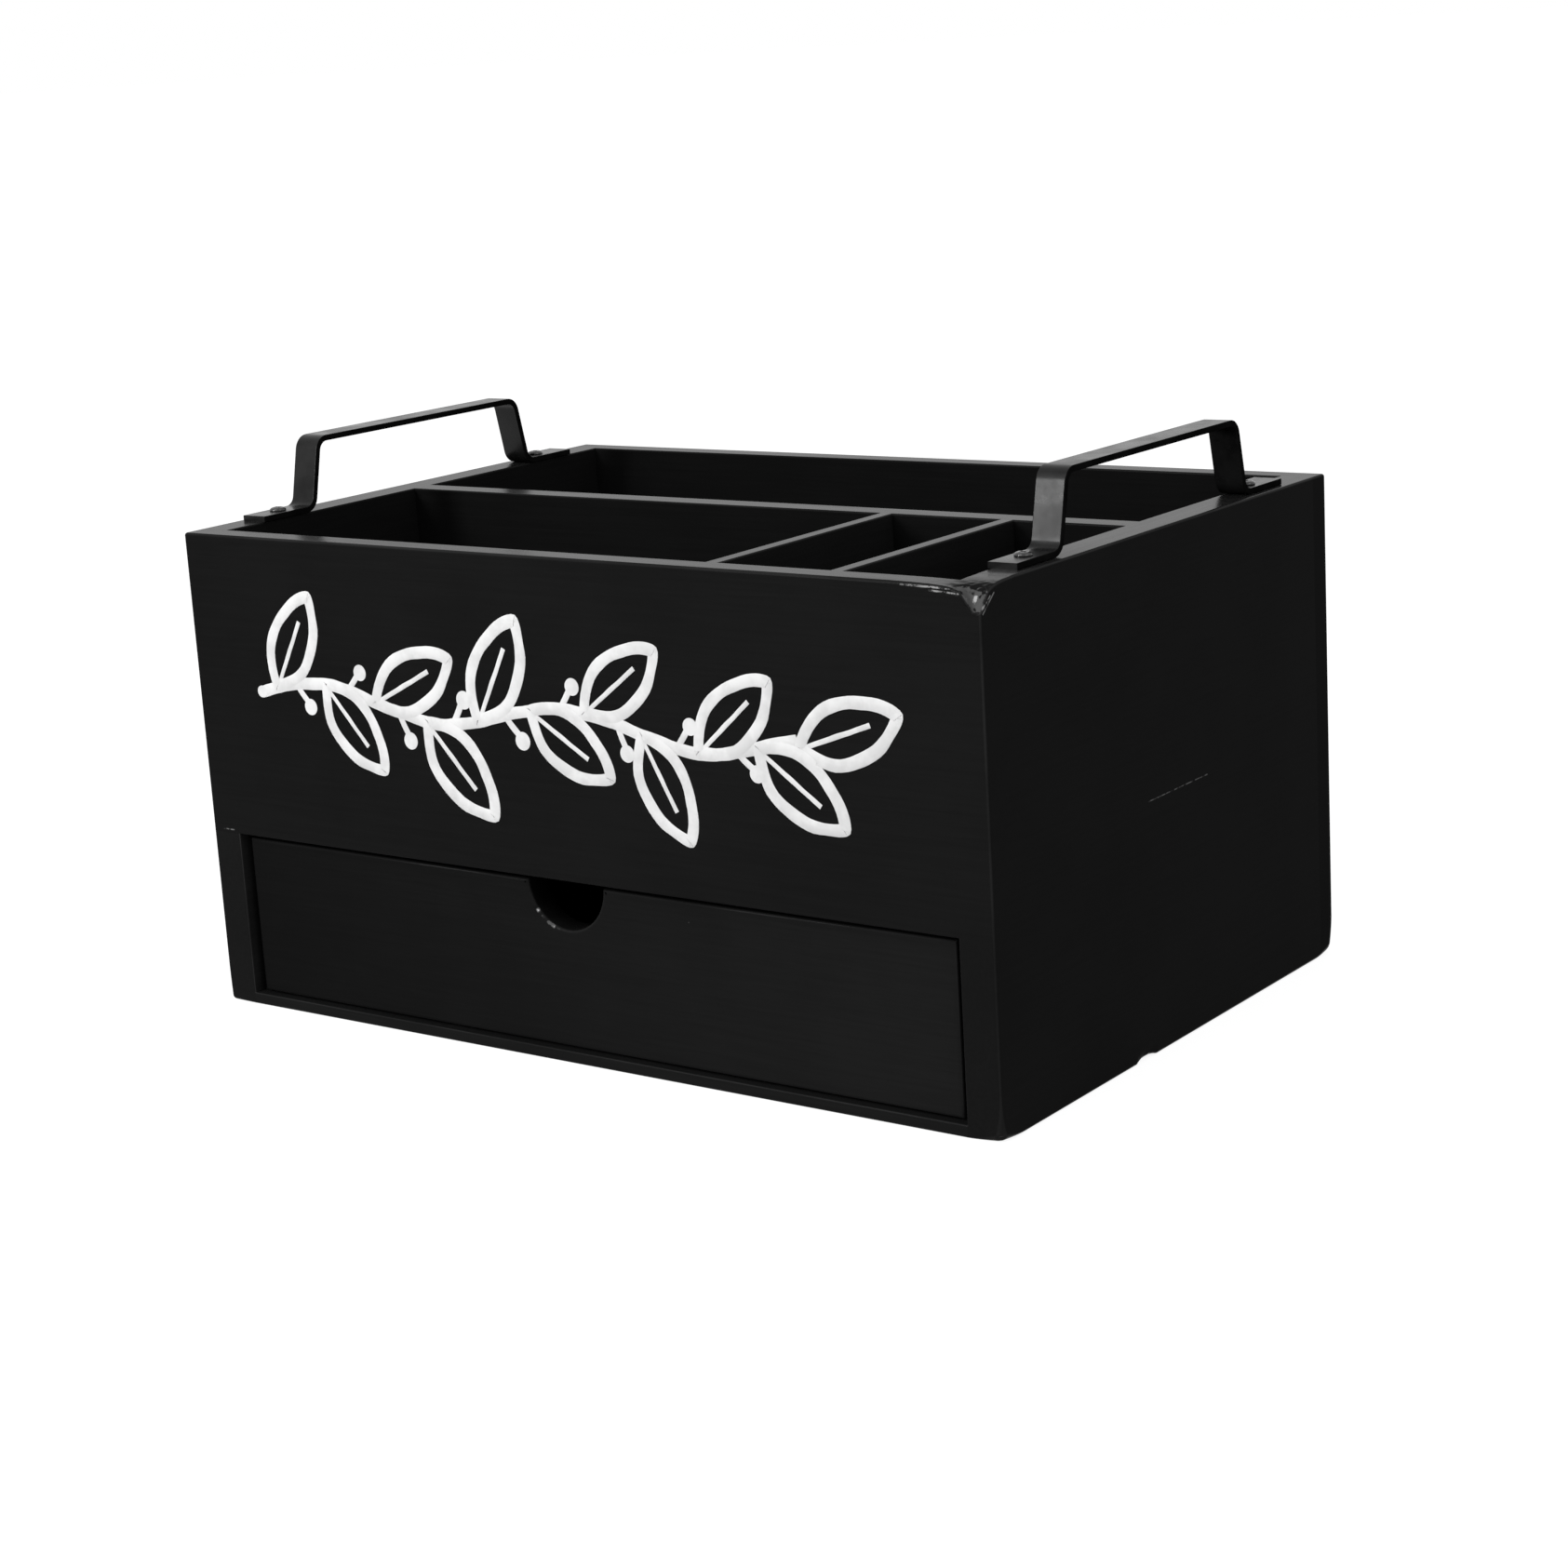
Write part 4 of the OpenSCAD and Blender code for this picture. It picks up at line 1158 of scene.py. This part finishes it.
def paint_stroke(tree, curve, section, seed_shift):
    """Sweep a stroke with a slightly uneven width and an unsteady hand."""
    place = add(tree, "GeometryNodeInputPosition").outputs[0]
    moved = add(tree, "ShaderNodeVectorMath", {0: place, 1: (seed_shift, seed_shift, 0.0)}, operation="ADD")
    press = noise_value(tree, moved.outputs[0], 95.0, 2.0, 0.6)
    width = ramp(tree, press, 0.25, 0.75, 0.86, 1.12, smooth=False)
    hand = add(tree, "ShaderNodeTexNoise", {"Vector": moved.outputs[0], "Scale": 60.0, "Detail": 1.0}).outputs["Color"]
    centred = add(tree, "ShaderNodeVectorMath", {0: hand, 1: (0.5, 0.5, 0.5)}, operation="SUBTRACT").outputs[0]
    sway = add(tree, "ShaderNodeVectorMath", {0: centred, 1: (0.0022, 0.0022, 0.0)}, operation="MULTIPLY").outputs[0]
    shaken = add(tree, "GeometryNodeSetPosition", {"Geometry": curve, "Offset": sway}).outputs[0]
    level = add(tree, "GeometryNodeSetCurveNormal", {"Curve": shaken}, mode="Z_UP").outputs[0]
    sweep = {"Curve": level, "Profile Curve": section, "Scale": width, "Fill Caps": True}
    return add(tree, "GeometryNodeCurveToMesh", sweep).outputs[0]


print("tree:", sprig_tree.name, "with", len(sprig_inputs), "inputs")

# %% The stem
half_length = math_node(sprig_tree, "MULTIPLY", given["Stem Length"], 0.5)
stem_start = add(sprig_tree, "ShaderNodeCombineXYZ", {"X": math_node(sprig_tree, "MULTIPLY", half_length, -1.0)})
stem_end = add(sprig_tree, "ShaderNodeCombineXYZ", {"X": half_length})
ends = {"Start": stem_start.outputs[0], "End": stem_end.outputs[0]}
straight = add(sprig_tree, "GeometryNodeCurvePrimitiveLine", ends).outputs[0]
divided = add(sprig_tree, "GeometryNodeResampleCurve", {"Curve": straight, "Count": 160}).outputs[0]
along = add(sprig_tree, "GeometryNodeSplineParameter").outputs["Factor"]
swing = math_node(sprig_tree, "SINE", math_node(sprig_tree, "MULTIPLY", along, 4.2 * math.pi))
wave = math_node(sprig_tree, "MULTIPLY", swing, given["Wave Height"])
waved = {"Geometry": divided, "Offset": add(sprig_tree, "ShaderNodeCombineXYZ", {"Y": wave}).outputs[0]}
stem = add(sprig_tree, "GeometryNodeSetPosition", waved).outputs[0]
stem_section = brush_section(sprig_tree, given["Stroke"], given["Film"], 0.82)
stem_paint = paint_stroke(sprig_tree, stem, stem_section, 0.0)
print("stem drawn")

# %% One leaf
ring = add(sprig_tree, "GeometryNodeCurvePrimitiveCircle", {"Resolution": 56, "Radius": 1.0}, mode="RADIUS").outputs[0]
position = add(sprig_tree, "GeometryNodeInputPosition").outputs[0]
parts = add(sprig_tree, "ShaderNodeSeparateXYZ", {0: position}).outputs
from_base = math_node(sprig_tree, "MULTIPLY", math_node(sprig_tree, "SUBTRACT", 1.0, parts["X"]), 0.5)
size = math_node(sprig_tree, "POWER", math_node(sprig_tree, "ABSOLUTE", parts["Y"]), 1.85)
bulge = math_node(sprig_tree, "MULTIPLY", size, math_node(sprig_tree, "SIGN", parts["Y"]))
half_width = math_node(sprig_tree, "MULTIPLY", given["Leaf Width"], 0.5)
leaf_x = math_node(sprig_tree, "MULTIPLY", from_base, given["Leaf Length"])
leaf_place = {"X": leaf_x, "Y": math_node(sprig_tree, "MULTIPLY", bulge, half_width)}
new_place = add(sprig_tree, "ShaderNodeCombineXYZ", leaf_place).outputs[0]
leaf_line = add(sprig_tree, "GeometryNodeSetPosition", {"Geometry": ring, "Position": new_place}).outputs[0]
leaf_section = brush_section(sprig_tree, given["Stroke"], given["Film"], 0.88)
leaf_outline = paint_stroke(sprig_tree, leaf_line, leaf_section, 0.37)
vein_length = math_node(sprig_tree, "MULTIPLY", given["Leaf Length"], 0.74)
vein_tip = add(sprig_tree, "ShaderNodeCombineXYZ", {"X": vein_length}).outputs[0]
vein_line = add(sprig_tree, "GeometryNodeCurvePrimitiveLine", {"End": vein_tip}).outputs[0]
vein_cut = add(sprig_tree, "GeometryNodeResampleCurve", {"Curve": vein_line, "Count": 18}).outputs[0]
vein_width = math_node(sprig_tree, "MULTIPLY", given["Stroke"], 0.42)
vein = paint_stroke(sprig_tree, vein_cut, brush_section(sprig_tree, vein_width, given["Film"], 0.74), 0.53)
leaf_join = add(sprig_tree, "GeometryNodeJoinGeometry")
sprig_tree.links.new(leaf_outline, leaf_join.inputs[0])
sprig_tree.links.new(vein, leaf_join.inputs[0])
leaf = leaf_join.outputs[0]
print("leaf drawn, with its mid vein")

# %% A berry on its stalk


def paint_dot(tree, radius, film, share):
    """A flat round dab of paint."""
    sizes = {"Vertices": 30, "Radius": radius, "Depth": math_node(tree, "MULTIPLY", film, 2.0 * share)}
    return add(tree, "GeometryNodeMeshCylinder", sizes).outputs["Mesh"]


stalk_end = add(sprig_tree, "ShaderNodeCombineXYZ", {"X": given["Berry Stalk"]}).outputs[0]
stalk = add(sprig_tree, "GeometryNodeCurvePrimitiveLine", {"End": stalk_end}).outputs[0]
stalk_cut = add(sprig_tree, "GeometryNodeResampleCurve", {"Curve": stalk, "Count": 8}).outputs[0]
thin = math_node(sprig_tree, "MULTIPLY", given["Stroke"], 0.55)
stalk_paint = paint_stroke(sprig_tree, stalk_cut, brush_section(sprig_tree, thin, given["Film"], 0.78), 0.71)
dab = paint_dot(sprig_tree, given["Berry Radius"], given["Film"], 1.0)
berry_dab = add(sprig_tree, "GeometryNodeTransform", {"Geometry": dab, "Translation": stalk_end}).outputs[0]
berry_join = add(sprig_tree, "GeometryNodeJoinGeometry")
sprig_tree.links.new(stalk_paint, berry_join.inputs[0])
sprig_tree.links.new(berry_dab, berry_join.inputs[0])
berry = berry_join.outputs[0]
print("berry drawn")

# %% Copies along the stem


def copies_along(tree, curve, count, shape, angle, flip, seed, spread):
    """Copies of a shape at even places along a curve, leaning to alternate sides of it."""
    stations = add(tree, "GeometryNodeCurveToPoints", {"Curve": curve, "Count": count}, mode="COUNT").outputs
    facing = {"Vector": stations["Tangent"]}
    heading = add(tree, "FunctionNodeAlignRotationToVector", facing, axis="X", pivot_axis="Z").outputs[0]
    index = add(tree, "GeometryNodeInputIndex").outputs[0]
    parity = math_node(tree, "MODULO", math_node(tree, "ADD", index, float(flip)), 2.0)
    side = math_node(tree, "SUBTRACT", 1.0, math_node(tree, "MULTIPLY", parity, 2.0))
    vary = add(tree, "FunctionNodeRandomValue", {2: 1 - spread, 3: 1 + spread, "Seed": seed}, data_type="FLOAT")
    lean = math_node(tree, "MULTIPLY", math_node(tree, "MULTIPLY", side, angle), vary.outputs[1])
    by = add(tree, "FunctionNodeEulerToRotation", {0: add(tree, "ShaderNodeCombineXYZ", {"Z": lean}).outputs[0]})
    turned = {"Rotation": heading, "Rotate By": by.outputs[0]}
    rotation = add(tree, "FunctionNodeRotateRotation", turned, rotation_space="LOCAL").outputs[0]
    shift = math_node(tree, "ADD", seed, 11.0)
    size = add(tree, "FunctionNodeRandomValue", {2: 1 - spread, 3: 1 + spread * 0.6, "Seed": shift}, data_type="FLOAT")
    even = {"X": size.outputs[1], "Y": size.outputs[1], "Z": 1.0}
    scale = add(tree, "ShaderNodeCombineXYZ", even).outputs[0]
    placing = {"Points": stations["Points"], "Instance": shape, "Rotation": rotation, "Scale": scale}
    return add(tree, "GeometryNodeInstanceOnPoints", placing).outputs[0]


leafy = add(sprig_tree, "GeometryNodeTrimCurve", {"Curve": stem, 1: True, 2: 0.035, 3: 0.93}, mode="FACTOR").outputs[0]
berried = add(sprig_tree, "GeometryNodeTrimCurve", {"Curve": stem, 1: True, 2: 0.075, 3: 0.895}, mode="FACTOR").outputs[0]
leaves = copies_along(sprig_tree, leafy, given["Leaf Count"], leaf, given["Leaf Angle"], 0, given["Seed"], 0.09)
fewer = math_node(sprig_tree, "SUBTRACT", given["Leaf Count"], 1.0)
wide_angle = math_node(sprig_tree, "MULTIPLY", given["Leaf Angle"], 1.25)
berries = copies_along(sprig_tree, berried, fewer, berry, wide_angle, 1, given["Seed"], 0.12)
tip_leaf = {"Geometry": leaf, "Translation": stem_end.outputs[0], "Rotation": (0.0, 0.0, 0.35)}
last_leaf = add(sprig_tree, "GeometryNodeTransform", tip_leaf).outputs[0]
round_start = paint_dot(sprig_tree, math_node(sprig_tree, "MULTIPLY", given["Stroke"], 0.5), given["Film"], 0.82)
first_dab = {"Geometry": round_start, "Translation": stem_start.outputs[0]}
stem_dab = add(sprig_tree, "GeometryNodeTransform", first_dab).outputs[0]
whole_sprig = add(sprig_tree, "GeometryNodeJoinGeometry")
for part in (stem_paint, stem_dab, leaves, berries, last_leaf):
    sprig_tree.links.new(part, whole_sprig.inputs[0])
close_tree(sprig_tree, whole_sprig.outputs[0], given["Finish"], result)
print("tree:", sprig_tree.name, "has", len(sprig_tree.nodes), "nodes")

# %% Paint the sprig on the front
SPRIG_MIDDLE = (-0.0172, 0.1105)
SPRIG_VALUES = {"Stem Length": 0.218, "Wave Height": 0.0045, "Leaf Count": 10, "Leaf Length": 0.037}
SPRIG_VALUES |= {"Leaf Width": 0.0180, "Leaf Angle": 0.80, "Stroke": 0.0040, "Film": FILM}
SPRIG_VALUES |= {"Berry Radius": 0.0029, "Berry Stalk": 0.0098, "Seed": 7, "Finish": white_paint}
sprig = grow(base_object("painted_sprig", [(0, 0, 0)]), sprig_tree, SPRIG_VALUES)
drawn = [(min(c) / MM, max(c) / MM) for c in zip(*[v.co for v in sprig.data.vertices])]
print("sprig drawn flat, in mm:", [tuple(round(v, 2) for v in pair) for pair in drawn])
stand = Matrix.Translation((SPRIG_MIDDLE[0], FRONT, SPRIG_MIDDLE[1])) @ Matrix.Rotation(math.pi / 2, 4, "X")
sprig.data.transform(stand)

# %% [markdown]
# ## Ride and replace, and steel for the brads
# Every piece rides on the body that carries it and stands for its CAD node, which is hidden. The brads stay as CAD
# made them, hidden under filler and paint, and get steel.

# %% Put every piece on its body
box_pieces = {"front_panel": front_board, "right_end_panel": right_board, "left_end_panel": left_board}
box_pieces |= {"back_panel": back_board, "base_board": bottom_board, "long_divider": long_board}
box_pieces |= {"left_cross_divider": left_cross_board, "right_cross_divider": right_cross_board}
box_pieces |= {"bin_floor": floor_board, **handles, **screw_sets}
drawer_pieces = {"drawer_front": drawer_front_board, **drawer_boards}
for pieces, body in ((box_pieces, "box"), (drawer_pieces, "drawer")):
    for node, piece in pieces.items():
        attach(piece, body)
        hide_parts(node)
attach(sprig, "box")
for name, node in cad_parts.items():
    if name.endswith("_brads"):
        node.data.materials.clear()
        node.data.materials.append(brad_steel)
print("pieces:", len(box_pieces) + len(drawer_pieces) + 1)
